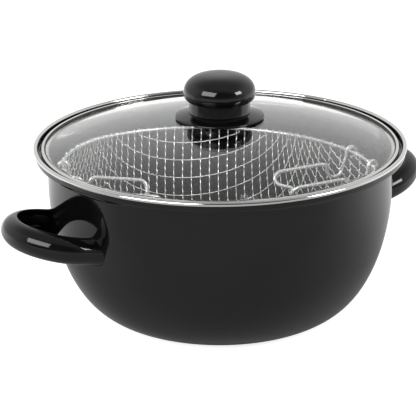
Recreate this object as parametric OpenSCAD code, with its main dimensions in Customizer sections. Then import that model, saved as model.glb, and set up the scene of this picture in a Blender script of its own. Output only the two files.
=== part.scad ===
// Stove-top deep fryer: an enamelled steel pot with a wire-mesh frying basket inside it
// and a domed glass lid. Millimetres, +Z up. The origin is the centre of the pot's base
// and the pot's two side handles lie along X.

/* [Pot] */
// Outer radius of the pot wall
wall_r = 130; // [125:0.5:135]
// Height of the top of the rim above the base
pot_h = 130; // [128:0.5:134]
// Radius of the flat base
base_r = 80.5; // [78:0.5:86]
// Height over which the rounded lower corner runs up into the wall
corner_h = 101; // [95:1:104]
// Thickness of the enamelled steel
wall_t = 1.2; // [1:0.1:1.6]
// Outer radius of the steel band round the rim
rim_r = 140; // [139.5:0.1:141]
// Radius of the band's round section
rim_bead_r = 1.6; // [1.5:0.05:1.8]

/* [Side handles] */
// Distance from the pot's axis to the outermost point of a handle
handle_reach = 177.5; // [174:0.5:182]
// Radius of the loop's centre line
loop_r = 38; // [36:0.5:40]
// Height of the pressed section
section_h = 20; // [18:0.5:22]
// Depth of the pressed section
section_d = 11; // [10:0.5:13]
// Thickness of the handle's steel
handle_t = 1.4; // [1.2:0.1:1.8]
// Upward tilt of the loop, in degrees
handle_tilt = 13.5; // [8:0.5:16]
// Height at which the loop's centre line meets the wall
handle_z = 76.5; // [74:0.5:82]

/* [Lid] */
// Outer radius of the lid's steel band
lid_r = 134.2; // [133.8:0.1:134.8]
// Height of the band
lid_band_h = 5.6; // [5.4:0.1:5.8]
// Thickness of the tempered glass
glass_t = 3.5; // [3.2:0.1:3.8]
// Rise of the glass dome above its flat edge
dome_rise = 22; // [21:0.2:25]

/* [Knob] */
// Widest radius of the knob
knob_r = 27; // [26:0.2:30]
// Radius of the disc under the knob
disc_r = 33.5; // [31:0.5:36]
// Height of the knob above the disc
knob_h = 29.2; // [27:0.2:31]
// Height of the disc's top above the glass crown
disc_rise = 3.35; // [3.2:0.05:3.6]

/* [Basket] */
// Radius of the wire ring at the basket's mouth, at the wire's centre
ring_r = 118; // [116:0.5:119]
// Height of the ring above the base, at the wire's centre
ring_z = 107.2; // [105:0.2:108]
// Diameter of the ring's wire
ring_wire_d = 2.5; // [2.2:0.1:2.7]
// Radius of the basket's flat floor
basket_floor_r = 69; // [64:0.5:72]
// Thickness of the woven wire cloth
mesh_t = 1; // [0.8:0.1:1.2]
// Lean of the loosely fitting basket, in degrees
basket_lean = 3.3; // [0:0.1:3.5]
// Direction of the side that stands higher, in degrees round from X
high_side = -167.5; // [-180:0.5:180]

/* [Basket handles] */
// Diameter of the handle wire
grip_wire_d = 2.8; // [2.6:0.1:3]
// Distance between the two eyes of one handle
eye_gap = 43; // [40:0.5:46]
// Radius of the hook between the eyes and the grip
hook_r = 6.5; // [6:0.25:7]
// Distance from the ring to the inner end of the grip
grip_reach = 66; // [62:0.5:68]
// Turn of both handles about the basket's axis, in degrees
grip_turn = -12; // [-20:1:0]
// Downward slope of the folded grips, in degrees
grip_slope = 6.6; // [4:0.2:8]

/* [Hidden] */
$fn = 96;

// Gap between pieces that belong to different moving bodies
free_gap = 0.4;
// Gap between pieces that are fixed to each other
seat_gap = 0.1;

// Pot: neck, ledge and lip above the straight wall
base_t = 1.6;
neck_drop = 13;
flare_drop = 5.4;
lip_rise = 0.6;
flare_in_r = 4.5;
flare_out_r = 3;
neck_z = pot_h - neck_drop;
lip_r = rim_r - rim_bead_r;
rim_z = pot_h - rim_bead_r;
flare_in_c = [wall_r + flare_in_r, neck_z];
flare_out_c = [lip_r + wall_t / 2 - flare_out_r, pot_h - flare_drop];
lip_top_z = rim_z + lip_rise;

// Direction of the normal of the ledge, which touches both flare arcs
flare_step = flare_out_c - flare_in_c;
ledge_normal = atan2(flare_step.y, flare_step.x) + acos((flare_in_r + flare_out_r) / norm(flare_step));

function arc(c, r, from, to, steps) =
    [for (i = [0:steps]) let (a = from + (to - from) * i / steps) [c.x + r * cos(a), c.y + r * sin(a)]];

function ellipse_arc(c, rx, rz, from, to, steps) =
    [for (i = [0:steps]) let (a = from + (to - from) * i / steps) [c.x + rx * cos(a), c.y + rz * sin(a)]];

function reversed(points) = [for (i = [len(points) - 1:-1:0]) points[i]];

// Pot wall at the depth t inside the outer face, from the base up to the lip
function pot_side(t) = concat(
    ellipse_arc([base_r, corner_h], wall_r - base_r - t, corner_h - (t > 0 ? base_t : 0), -90, 0, 28),
    arc(flare_in_c, flare_in_r + t, 180, ledge_normal, 8),
    arc(flare_out_c, flare_out_r - t, ledge_normal - 180, 0, 6)
);

// Lid: heights of the band, of the flat glass edge and of the dome
lid_drop = 7;
band_t = 0.7;
seal_t = 0.5;
seal_w = 2;
glass_land = 3.3;
skirt_play = 0.7;
skirt_h = 6;
glass_hole_r = 4;
lid_seat_z = pot_h - lid_drop;
lid_band_top = lid_seat_z + lid_band_h;
glass_edge_top = lid_band_top - band_t - seal_t - 2 * seat_gap;
glass_edge_r = lid_r - band_t - seal_t - 2 * seat_gap;
glass_crown_z = glass_edge_top + dome_rise;
glass_under_z = glass_crown_z - glass_t;
dome_edge_r = glass_edge_r - glass_land;
dome_r = (dome_edge_r * dome_edge_r + dome_rise * dome_rise) / (2 * dome_rise);
dome_c = [0, glass_crown_z - dome_r];
dome_in_r = dome_r - glass_t;
dome_edge_angle = acos(dome_edge_r / dome_r);
seal_in_r = glass_edge_r - seal_w;
skirt_r = wall_r - wall_t - skirt_play;

// Knob stack, from the glass upwards
disc_gap = 0.35;
knob_z = glass_crown_z + disc_rise;
neck_r = 22.4;
neck_foot_r = 23.5;
neck_h = 8.6;
knob_wide_z = knob_z + 14.6;
screw_r = 2.45;
screw_hole_r = 2.7;
insert_r = 4;
insert_l = 12;
upper_gasket_r = 11;
upper_gasket_t = 0.9;
lower_gasket_r = 11;
lower_gasket_t = 1.6;
washer_r = 9;
washer_t = 1;

// The glass curves away from a flat gasket under it by this much at the gasket's edge
under_sag = dome_in_r - sqrt(dome_in_r * dome_in_r - lower_gasket_r * lower_gasket_r);
lower_gasket_top = glass_under_z - under_sag - seat_gap;
washer_top = lower_gasket_top - lower_gasket_t - seat_gap;
screw_head_top = washer_top - washer_t - seat_gap;

// Basket: its own frame has the ring's centre as origin and leans with the basket. The
// leaning cloth's lowest point stands just clear of the pot's floor
lean_gap = 0.1;
cloth_in = 1;
basket_corner_h = 80;
cloth_depth = (ring_z - base_t - free_gap) / cos(basket_lean) - basket_floor_r * tan(basket_lean) - lean_gap;
cloth_top = -ring_wire_d / 2 - seat_gap;
basket_wall_r = ring_r + mesh_t / 2;

// Cloth at the depth t inside its outer face
function cloth_side(t) = concat(
    ellipse_arc([basket_floor_r, basket_corner_h - cloth_depth],
        basket_wall_r - cloth_in - basket_floor_r - t, basket_corner_h - t, -90, 0, 24),
    [[basket_wall_r - t, cloth_top]]
);

// Basket handle, seen with the ring's chord through its eyes as origin: x points
// outwards, y runs along the chord and z points up
half_gap = eye_gap / 2;
chord_x = sqrt(ring_r * ring_r - half_gap * half_gap);
grip_r = grip_wire_d / 2;
eye_play = 1.4;
eye_r = ring_wire_d / 2 + eye_play + grip_r;
hook_x = -14.7;
hook_z = -11.6;
rise_r = 5;
grip_z = -6.2;
grip_start_x = hook_x - hook_r - rise_r;
bend_r = 6;
end_dip = 7;
end_drop = 1.5;
end_step = 0.28;
corner_in = 2;
corner_w = 4.8;
bend_sweep = 80;
leg_top = [-eye_r, half_gap, -1.5];
leg_middle = [-eye_r - 1.5, half_gap, -5.2];
grip_sides = 12;

// Route of one half of the handle's wire: down from the eye, round the hook, up and along
// the grip, down again at its inner end, and across to the middle of the dipped end
function half_route() = concat(
    [leg_top, leg_middle],
    [for (i = [0:8]) let (a = -180 * i / 8)
        [hook_x + hook_r * cos(a), half_gap, hook_z + hook_r * sin(a)]],
    [for (i = [1:5]) let (a = 90 * i / 5)
        [grip_start_x + rise_r * cos(a), half_gap, grip_z - rise_r + rise_r * sin(a)]],
    [for (i = [0:5]) let (a = bend_sweep * i / 5)
        [bend_r - grip_reach - bend_r * sin(a), half_gap - corner_in * (1 - cos(a)),
            grip_z - bend_r + bend_r * cos(a)]],
    [for (i = [1:4]) let (a = 90 * i / 4)
        [end_step * i - grip_reach, half_gap - corner_in - corner_w * sin(a),
            grip_z - bend_r - end_drop * (1 - cos(a))]],
    [for (i = [1:4]) let (a = 180 * i / 4, left = half_gap - corner_in - corner_w)
        [4 * end_step - grip_reach + (end_dip - 4 * end_step) * (1 - cos(a)) / 2, left * (1 - i / 4),
            grip_z - bend_r - end_drop]]
);

// The route with its grips sloping down from the eyes
function sloped(p) = [for (q = p)
    [q.x * cos(grip_slope) - q.z * sin(grip_slope), q.y, q.x * sin(grip_slope) + q.z * cos(grip_slope)]];

function whole_route(half) = concat(
    half,
    [for (i = [len(half) - 2:-1:0]) [half[i].x, -half[i].y, half[i].z]]
);

function unit(v) = v / norm(v);

function tangent(p, i) = unit(p[min(i + 1, len(p) - 1)] - p[max(i - 1, 0)]);

function across(n, t) = unit(n - (n * t) * t);

// Normals carried along the route without twist, one for each point
function carried_normals(p) =
    [for (i = 0, n = across([0, 1, 0.01], tangent(p, 0)); i < len(p);
        i = i + 1, n = i < len(p) ? across(n, tangent(p, i)) : n) n];

module swept_wire(p, r, sides) {
    normals = carried_normals(p);
    rings = [for (i = [0:len(p) - 1]) let (n = normals[i], b = cross(tangent(p, i), n))
        for (k = [0:sides - 1]) let (a = 360 * k / sides) p[i] + r * (n * cos(a) + b * sin(a))];
    sides_of = [for (i = [0:len(p) - 2]) for (k = [0:sides - 1]) let (m = (k + 1) % sides)
        [i * sides + k, (i + 1) * sides + k, (i + 1) * sides + m, i * sides + m]];
    first_cap = [for (k = [0:sides - 1]) k];
    last_cap = [for (k = [sides - 1:-1:0]) (len(p) - 1) * sides + k];
    polyhedron(rings, concat(sides_of, [first_cap, last_cap]), convexity = 6);
}

module pot_shell() {
    color("#16171a")
    rotate_extrude()
    polygon(concat(
        [[0, 0]],
        pot_side(0),
        [[lip_r + wall_t / 2, lip_top_z], [lip_r - wall_t / 2, lip_top_z]],
        reversed(pot_side(wall_t)),
        [[0, base_t]]
    ));
}

// Round section with a slot from below that the pot's lip stands in
module rim_band() {
    slot_half = wall_t / 2 + seat_gap;
    slot_top = lip_top_z + seat_gap;
    mouth = acos(slot_half / rim_bead_r);
    color("silver")
    rotate_extrude()
    polygon(concat(
        arc([lip_r, rim_z], rim_bead_r, -mouth, 180 + mouth, 24),
        [[lip_r - slot_half, slot_top], [lip_r + slot_half, slot_top]]
    ));
}

// Side handle: centre of the round part, point about which the loop tilts, and the depth
// inside the wall at which its legs start
loop_x = handle_reach - section_d / 2 - loop_r;
tilt_x = wall_r * 0.955;
leg_root_x = wall_r * 0.9;

// Pressed section, open towards the inside of the loop: x points out of the loop
module handle_section() {
    bulge_r = (section_h * section_h / 4 + section_d * section_d) / (2 * section_d);
    spread = asin(section_h / 2 / bulge_r);
    outer = arc([section_d / 2 - bulge_r, 0], bulge_r, -spread, spread, 12);
    inner = arc([section_d / 2 - bulge_r, 0], bulge_r - handle_t, spread, -spread, 12);
    polygon(concat(outer, inner));
}

module handle_loop() {
    leg_l = loop_x - leg_root_x;
    translate([loop_x, 0, 0]) {
        rotate([0, 0, -90])
        rotate_extrude(angle = 180)
        translate([loop_r, 0])
        handle_section();
        for (side = [-1, 1])
            translate([side > 0 ? -leg_l : 0, side * loop_r, 0])
            rotate([90, 0, side * 90])
            linear_extrude(leg_l)
            handle_section();
    }
}

module side_handle(turn) {
    color("#16171a")
    rotate([0, 0, turn])
    difference() {
        translate([tilt_x, 0, handle_z])
        rotate([0, -handle_tilt, 0])
        translate([-tilt_x, 0, 0])
        handle_loop();
        rotate_extrude()
        polygon(concat(
            [[0, 0]],
            [for (p = pot_side(0)) [p.x + seat_gap, p.y]],
            [[0, pot_h]]
        ));
    }
}

// Places the basket's own frame in the pot
module in_basket_frame() {
    translate([0, 0, ring_z])
    rotate(a = basket_lean, v = [sin(high_side), -cos(high_side), 0])
    children();
}

module basket_mesh() {
    notch_play = 1.2;
    notch_w = grip_wire_d + 2 * notch_play;
    notch_h = eye_r + grip_r + notch_play;
    notch_l = 20;
    color("gainsboro")
    in_basket_frame()
    difference() {
        rotate_extrude()
        polygon(concat(
            [[0, -cloth_depth]],
            cloth_side(0),
            reversed(cloth_side(mesh_t)),
            [[0, mesh_t - cloth_depth]]
        ));
        for (side = [0, 180])
            for (y = [-half_gap, half_gap])
                rotate([0, 0, grip_turn + side])
                translate([chord_x - notch_l / 2, y - notch_w / 2, -notch_h])
                cube([notch_l, notch_w, notch_h]);
    }
}

module basket_ring() {
    color("silver")
    in_basket_frame()
    rotate_extrude()
    translate([ring_r, 0])
    circle(d = ring_wire_d, $fn = 24);
}

module basket_handle(side) {
    color("silver")
    in_basket_frame()
    rotate([0, 0, grip_turn + side])
    translate([chord_x, 0, 0])
    union() {
        swept_wire(whole_route(sloped(half_route())), grip_r, grip_sides);
        for (y = [-half_gap, half_gap])
            translate([0, y, 0])
            rotate([90, 0, 0])
            rotate_extrude()
            translate([eye_r, 0])
            circle(r = grip_r, $fn = 24);
    }
}

module lid_glass() {
    color("lightgray", 0.35)
    rotate_extrude()
    polygon(concat(
        arc(dome_c, dome_r, acos(glass_hole_r / dome_r), dome_edge_angle, 24),
        [[glass_edge_r, glass_edge_top], [glass_edge_r, glass_edge_top - glass_t]],
        arc(dome_c, dome_in_r, dome_edge_angle, acos(glass_hole_r / dome_in_r), 24)
    ));
}

module lid_band() {
    band_in_r = seal_in_r + seal_w / 2;
    color("silver")
    rotate_extrude()
    polygon([
        [band_in_r, lid_band_top],
        [lid_r, lid_band_top],
        [lid_r, lid_seat_z],
        [skirt_r, lid_seat_z],
        [skirt_r, lid_seat_z - skirt_h],
        [skirt_r - band_t, lid_seat_z - skirt_h],
        [skirt_r - band_t, lid_seat_z + band_t],
        [lid_r - band_t, lid_seat_z + band_t],
        [lid_r - band_t, lid_band_top - band_t],
        [band_in_r, lid_band_top - band_t]
    ]);
}

module lid_seal() {
    seal_top = lid_band_top - band_t - seat_gap;
    seal_out = lid_r - band_t - seat_gap;
    seal_foot = lid_seat_z + band_t + seat_gap;
    color("black")
    rotate_extrude()
    polygon([
        [seal_in_r, glass_edge_top + seat_gap],
        [glass_edge_r + seat_gap, glass_edge_top + seat_gap],
        [glass_edge_r + seat_gap, seal_foot],
        [seal_out, seal_foot],
        [seal_out, seal_top],
        [seal_in_r, seal_top]
    ]);
}

// Knob: a flattened mushroom on a nearly straight neck, hollow underneath round a boss
module knob_head() {
    crown_h = knob_h - (knob_wide_z - knob_z);
    under_h = knob_wide_z - knob_z - neck_h;
    lip_w = 0.4;
    lip_from = -80;
    flat_power = 0.8;
    dome_power = 0.9;
    boss_r = 7.5;
    cavity_r = 17;
    cavity_h = 12;
    color("#141414")
    difference() {
        rotate_extrude()
        polygon(concat(
            [[0, knob_z], [neck_foot_r, knob_z], [neck_r, knob_z + neck_h - lip_w],
             [neck_r + lip_w, knob_z + neck_h]],
            ellipse_arc([neck_r + lip_w, knob_wide_z], knob_r - neck_r - lip_w, under_h, lip_from, 0, 8),
            [for (i = [1:16]) let (a = 90 * i / 16)
                [knob_r * pow(cos(a), flat_power), knob_wide_z + crown_h * pow(sin(a), dome_power)]]
        ));
        difference() {
            translate([0, 0, knob_z - 1]) cylinder(r = cavity_r, h = cavity_h + 1);
            translate([0, 0, knob_z - 2]) cylinder(r = boss_r, h = cavity_h + 3);
        }
        translate([0, 0, knob_z - 1]) cylinder(r = insert_r + seat_gap, h = insert_l + 1 + seat_gap);
    }
}

module knob_insert() {
    color("goldenrod")
    difference() {
        translate([0, 0, knob_z]) cylinder(r = insert_r, h = insert_l);
        translate([0, 0, knob_z - 1]) cylinder(r = screw_r + seat_gap, h = insert_l - 1);
    }
}

// Disc under the knob: its underside follows the glass and has a recess for the gasket
module knob_disc() {
    edge_r = 0.9;
    under_r = dome_r + disc_gap;
    rim_c = [disc_r - edge_r, dome_c.y + sqrt(under_r * under_r - disc_r * disc_r) + edge_r];
    recess_r = upper_gasket_r + 3 * seat_gap;
    recess_top = glass_crown_z + upper_gasket_t + 2 * seat_gap;
    color("#141414")
    rotate_extrude()
    polygon(concat(
        [[screw_hole_r, recess_top], [recess_r, recess_top]],
        arc(dome_c, under_r, acos(recess_r / under_r), acos((disc_r - edge_r) / under_r), 8),
        arc(rim_c, edge_r, -75, 75, 6),
        [[neck_foot_r + 3 * seat_gap, knob_z - seat_gap], [screw_hole_r, knob_z - seat_gap]]
    ));
}

module upper_gasket() {
    under_r = dome_r + seat_gap;
    gasket_top = glass_crown_z + upper_gasket_t + seat_gap;
    color("dimgray")
    rotate_extrude()
    polygon(concat(
        arc(dome_c, under_r, acos(glass_hole_r / under_r), acos(upper_gasket_r / under_r), 4),
        [[upper_gasket_r, gasket_top], [glass_hole_r, gasket_top]]
    ));
}

// Flat ring hung from the height top
module flat_ring(top, outer_r, thickness) {
    difference() {
        translate([0, 0, top - thickness]) cylinder(r = outer_r, h = thickness);
        translate([0, 0, top - thickness - 1]) cylinder(r = screw_hole_r, h = thickness + 2);
    }
}

module lower_gasket() {
    color("dimgray") flat_ring(lower_gasket_top, lower_gasket_r, lower_gasket_t);
}

module knob_washer() {
    color("silver") flat_ring(washer_top, washer_r, washer_t);
}

module knob_screw() {
    head_h = 2.6;
    head_r = 5;
    slot_w = 1.2;
    slot_h = 1.2;
    end_gap = 4;
    color("silver")
    difference() {
        union() {
            translate([0, 0, screw_head_top - head_h]) cylinder(r = head_r, h = head_h);
            translate([0, 0, screw_head_top - 1])
            cylinder(r = screw_r, h = knob_z + insert_l - end_gap - screw_head_top);
        }
        translate([-head_r - 1, -slot_w / 2, screw_head_top - head_h - 1])
        cube([2 * head_r + 2, slot_w, slot_h + 1]);
    }
}

pot_shell();
rim_band();
side_handle(180);  // left_handle
side_handle(0);  // right_handle
basket_mesh();
basket_ring();
basket_handle(180);  // left_basket_handle
basket_handle(0);  // right_basket_handle
lid_glass();
lid_band();
lid_seal();
knob_head();
knob_insert();
knob_disc();
upper_gasket();
lower_gasket();
knob_washer();
knob_screw();
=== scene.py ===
"""Looks of a stove-top deep fryer: enamelled pot, wire-cloth basket and glass lid with a knob.

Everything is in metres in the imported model's frame: the origin is the centre of the pot's base,
+Z is up and the two side handles lie along X.
"""

import logging
import math
from dataclasses import dataclass, field
from enum import Enum
from typing import Callable, Iterable, Sequence

import bpy
import numpy as np
from mathutils import Matrix, Vector


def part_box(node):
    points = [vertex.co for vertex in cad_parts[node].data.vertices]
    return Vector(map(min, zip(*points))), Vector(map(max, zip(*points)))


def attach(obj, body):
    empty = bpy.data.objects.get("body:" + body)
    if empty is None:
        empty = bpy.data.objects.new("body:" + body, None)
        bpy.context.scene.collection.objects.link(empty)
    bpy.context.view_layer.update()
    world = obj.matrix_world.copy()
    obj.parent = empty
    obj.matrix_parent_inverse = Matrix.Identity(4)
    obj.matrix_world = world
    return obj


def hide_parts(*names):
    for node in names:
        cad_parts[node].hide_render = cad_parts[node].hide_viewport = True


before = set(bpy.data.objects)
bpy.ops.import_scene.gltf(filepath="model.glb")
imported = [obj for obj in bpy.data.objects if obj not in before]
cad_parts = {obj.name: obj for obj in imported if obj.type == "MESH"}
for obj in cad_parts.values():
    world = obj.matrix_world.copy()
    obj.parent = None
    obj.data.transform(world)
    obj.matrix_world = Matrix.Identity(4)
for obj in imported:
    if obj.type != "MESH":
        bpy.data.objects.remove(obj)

MM = 0.001
FULL_TURN = 2.0 * math.pi
AXIS_R = 1e-7
TINY = 1e-12
WIRE_SHARP_ANGLE = 75.0
LOG = logging.getLogger("deep_fryer")

Profile = list[tuple[float, float]]
Points = np.ndarray


class Body(Enum):
    """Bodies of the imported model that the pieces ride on."""

    POT = "pot"
    BASKET = "basket"
    LID = "lid"
    LEFT_GRIP = "left_grip"
    RIGHT_GRIP = "right_grip"


class Slot(Enum):
    """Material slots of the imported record."""

    ENAMEL = "enamel"
    STEEL_BAND = "steel_band"
    WIRE = "wire"
    LID_GLASS = "lid_glass"
    SEAL = "seal"
    KNOB = "knob"
    INSERT = "insert"
    GASKET = "gasket"
    SCREW_STEEL = "screw_steel"


# ----------------------------------------------------------------------------------------------
# Node building
# ----------------------------------------------------------------------------------------------


class NodeSheet:
    """Short way to add and link nodes in one node tree."""

    def __init__(self, tree: bpy.types.NodeTree) -> None:
        """Keep the tree that the nodes go into."""
        self.tree = tree

    def add(self, kind: str, **settings: object) -> bpy.types.Node:
        """Add a node and set its properties.

        Args:
            kind: The node's type name.
            **settings: Properties of the node, by name.

        Returns:
            The new node.
        """
        node = self.tree.nodes.new(kind)
        for name, value in settings.items():
            setattr(node, name, value)
        return node

    def link(self, source: bpy.types.NodeSocket, target: bpy.types.NodeSocket) -> None:
        """Link one output to one input."""
        self.tree.links.new(source, target)

    def feed(self, node: bpy.types.Node, **inputs: object) -> bpy.types.Node:
        """Give inputs of a node a value or a link, by index (i0, i1) or by name with underscores.

        Args:
            node: The node to feed.
            **inputs: Values or output sockets.

        Returns:
            The same node.
        """
        for name, value in inputs.items():
            indexed = name[0] == "i" and name[1:].isdigit()
            socket = node.inputs[int(name[1:])] if indexed else node.inputs[name.replace("_", " ")]
            if isinstance(value, bpy.types.NodeSocket):
                self.link(value, socket)
            else:
                socket.default_value = value
        return node

    def grow(self, kind: str, settings: dict[str, object] | None = None, **inputs: object) -> bpy.types.Node:
        """Add a node, set its properties and feed its inputs."""
        return self.feed(self.add(kind, **(settings or {})), **inputs)

    def math(self, operation: str, *values: object) -> bpy.types.NodeSocket:
        """Add a Math node of an operation, fed with values or sockets, and return its output."""
        inputs = {f"i{k}": value for k, value in enumerate(values)}
        return self.grow("ShaderNodeMath", {"operation": operation}, **inputs).outputs[0]

    def remap(
        self, value: object, low: float, high: float, new_low: float, new_high: float,
    ) -> bpy.types.NodeSocket:
        """Map a range of values onto another, clamped.

        Args:
            value: The socket that gives the value.
            low: Value that becomes new_low.
            high: Value that becomes new_high.
            new_low: Result at low.
            new_high: Result at high.

        Returns:
            The mapped value.
        """
        node = self.add("ShaderNodeMapRange", clamp=True)
        self.feed(node, Value=value, From_Min=low, From_Max=high, To_Min=new_low, To_Max=new_high)
        return node.outputs["Result"]

    def noise(
        self, vector: object, scale: object, detail: float = 2.0, roughness: float = 0.5,
    ) -> bpy.types.NodeSocket:
        """Add a noise texture.

        Args:
            vector: The socket that gives the place.
            scale: Scale of the noise, or its socket.
            detail: Number of finer layers.
            roughness: Weight of the finer layers.

        Returns:
            The noise's value.
        """
        node = self.add("ShaderNodeTexNoise")
        self.feed(node, Vector=vector, Scale=scale, Detail=detail, Roughness=roughness)
        return node.outputs["Fac"]


class ShaderGroup:
    """A shader node group with named inputs and outputs, built once and shared by the finishes."""

    def __init__(self, name: str, inputs: dict[str, str], outputs: dict[str, str]) -> None:
        """Create the group's tree and its sockets.

        Args:
            name: The group's name.
            inputs: Socket type for each input's name.
            outputs: Socket type for each output's name.
        """
        self.tree = bpy.data.node_groups.new(name, "ShaderNodeTree")
        for label, kind in inputs.items():
            self.tree.interface.new_socket(name=label, in_out="INPUT", socket_type=kind)
        for label, kind in outputs.items():
            self.tree.interface.new_socket(name=label, in_out="OUTPUT", socket_type=kind)
        self.sheet = NodeSheet(self.tree)
        self.inlet = self.sheet.add("NodeGroupInput").outputs
        self.outlet = self.sheet.add("NodeGroupOutput").inputs

    def out(self, label: str, value: bpy.types.NodeSocket) -> None:
        """Send a value to one of the group's outputs."""
        self.sheet.link(value, self.outlet[label])


FLOAT_SOCKET = "NodeSocketFloat"
VECTOR_SOCKET = "NodeSocketVector"


class Effects:
    """The surface effects that several finishes share."""

    def __init__(self) -> None:
        """Build every group once."""
        self.handling = self._handling()
        self.flow = self._flow()
        self.turning = self._turning()
        self.drawn = self._drawn()

    @staticmethod
    def _handling() -> bpy.types.NodeTree:
        """Faint wipe marks and dust from handling: a roughness and a mask.

        Returns:
            The group's tree.
        """
        group = ShaderGroup(
            "handling_marks",
            {"Vector": VECTOR_SOCKET, "Low": FLOAT_SOCKET, "High": FLOAT_SOCKET, "Scale": FLOAT_SOCKET},
            {"Roughness": FLOAT_SOCKET, "Mask": FLOAT_SOCKET},
        )
        sheet, inlet = group.sheet, group.inlet
        broad = sheet.noise(inlet["Vector"], inlet["Scale"], 3.0)
        fine = sheet.noise(inlet["Vector"], sheet.math("MULTIPLY", inlet["Scale"], 11.0), 4.0, 0.6)
        blend = sheet.math("ADD", sheet.math("MULTIPLY", broad, 0.7), sheet.math("MULTIPLY", fine, 0.3))
        mask = sheet.remap(blend, 0.38, 0.66, 0.0, 1.0)
        span = sheet.math("SUBTRACT", inlet["High"], inlet["Low"])
        group.out("Mask", mask)
        group.out("Roughness", sheet.math("ADD", inlet["Low"], sheet.math("MULTIPLY", span, mask)))
        return group.tree

    @staticmethod
    def _flow() -> bpy.types.NodeTree:
        """Slow waviness of a fired or moulded gloss surface, with a few fine pits: a height.

        Returns:
            The group's tree.
        """
        group = ShaderGroup(
            "gloss_flow",
            {"Vector": VECTOR_SOCKET, "Wave Scale": FLOAT_SOCKET, "Pit Scale": FLOAT_SOCKET},
            {"Height": FLOAT_SOCKET},
        )
        sheet, inlet = group.sheet, group.inlet
        wave = sheet.noise(inlet["Vector"], inlet["Wave Scale"], 1.0)
        cells = sheet.grow("ShaderNodeTexVoronoi", Vector=inlet["Vector"], Scale=inlet["Pit Scale"])
        pits = sheet.remap(cells.outputs["Distance"], 0.02, 0.09, 1.0, 0.0)
        group.out("Height", sheet.math("SUBTRACT", wave, sheet.math("MULTIPLY", pits, 0.04)))
        return group.tree

    @staticmethod
    def _turning() -> bpy.types.NodeTree:
        """Fine lines that run round the Z axis, as rolling and polishing leave: a height.

        Returns:
            The group's tree.
        """
        group = ShaderGroup(
            "polish_lines",
            {"Vector": VECTOR_SOCKET, "Line Scale": FLOAT_SOCKET, "Arc Scale": FLOAT_SOCKET},
            {"Height": FLOAT_SOCKET},
        )
        sheet, inlet = group.sheet, group.inlet
        parts = sheet.grow("ShaderNodeSeparateXYZ", Vector=inlet["Vector"])
        across = sheet.math("SQRT", sheet.math(
            "ADD",
            sheet.math("POWER", parts.outputs["X"], 2.0),
            sheet.math("POWER", parts.outputs["Y"], 2.0),
        ))
        angle = sheet.math("ARCTAN2", parts.outputs["Y"], parts.outputs["X"])
        place = sheet.grow(
            "ShaderNodeCombineXYZ",
            X=sheet.math("MULTIPLY", across, inlet["Line Scale"]),
            Y=sheet.math("MULTIPLY", parts.outputs["Z"], inlet["Line Scale"]),
            Z=sheet.math("MULTIPLY", angle, inlet["Arc Scale"]),
        )
        lines = sheet.noise(place.outputs["Vector"], 1.0, 3.0, 0.6)
        group.out("Height", sheet.remap(lines, 0.3, 0.7, 0.0, 1.0))
        return group.tree

    @staticmethod
    def _drawn() -> bpy.types.NodeTree:
        """Specks and slight unevenness of drawn, tinned wire: a tone and a height.

        Returns:
            The group's tree.
        """
        group = ShaderGroup(
            "tinned_wire",
            {"Vector": VECTOR_SOCKET, "Scale": FLOAT_SOCKET},
            {"Tone": FLOAT_SOCKET, "Height": FLOAT_SOCKET},
        )
        sheet, inlet = group.sheet, group.inlet
        tone = sheet.noise(inlet["Vector"], inlet["Scale"], 4.0, 0.65)
        grain = sheet.noise(inlet["Vector"], sheet.math("MULTIPLY", inlet["Scale"], 6.0), 2.0)
        group.out("Tone", sheet.remap(tone, 0.3, 0.7, 0.0, 1.0))
        group.out("Height", grain)
        return group.tree


# ----------------------------------------------------------------------------------------------
# Finishes
# ----------------------------------------------------------------------------------------------

Colour = tuple[float, float, float, float]


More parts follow.
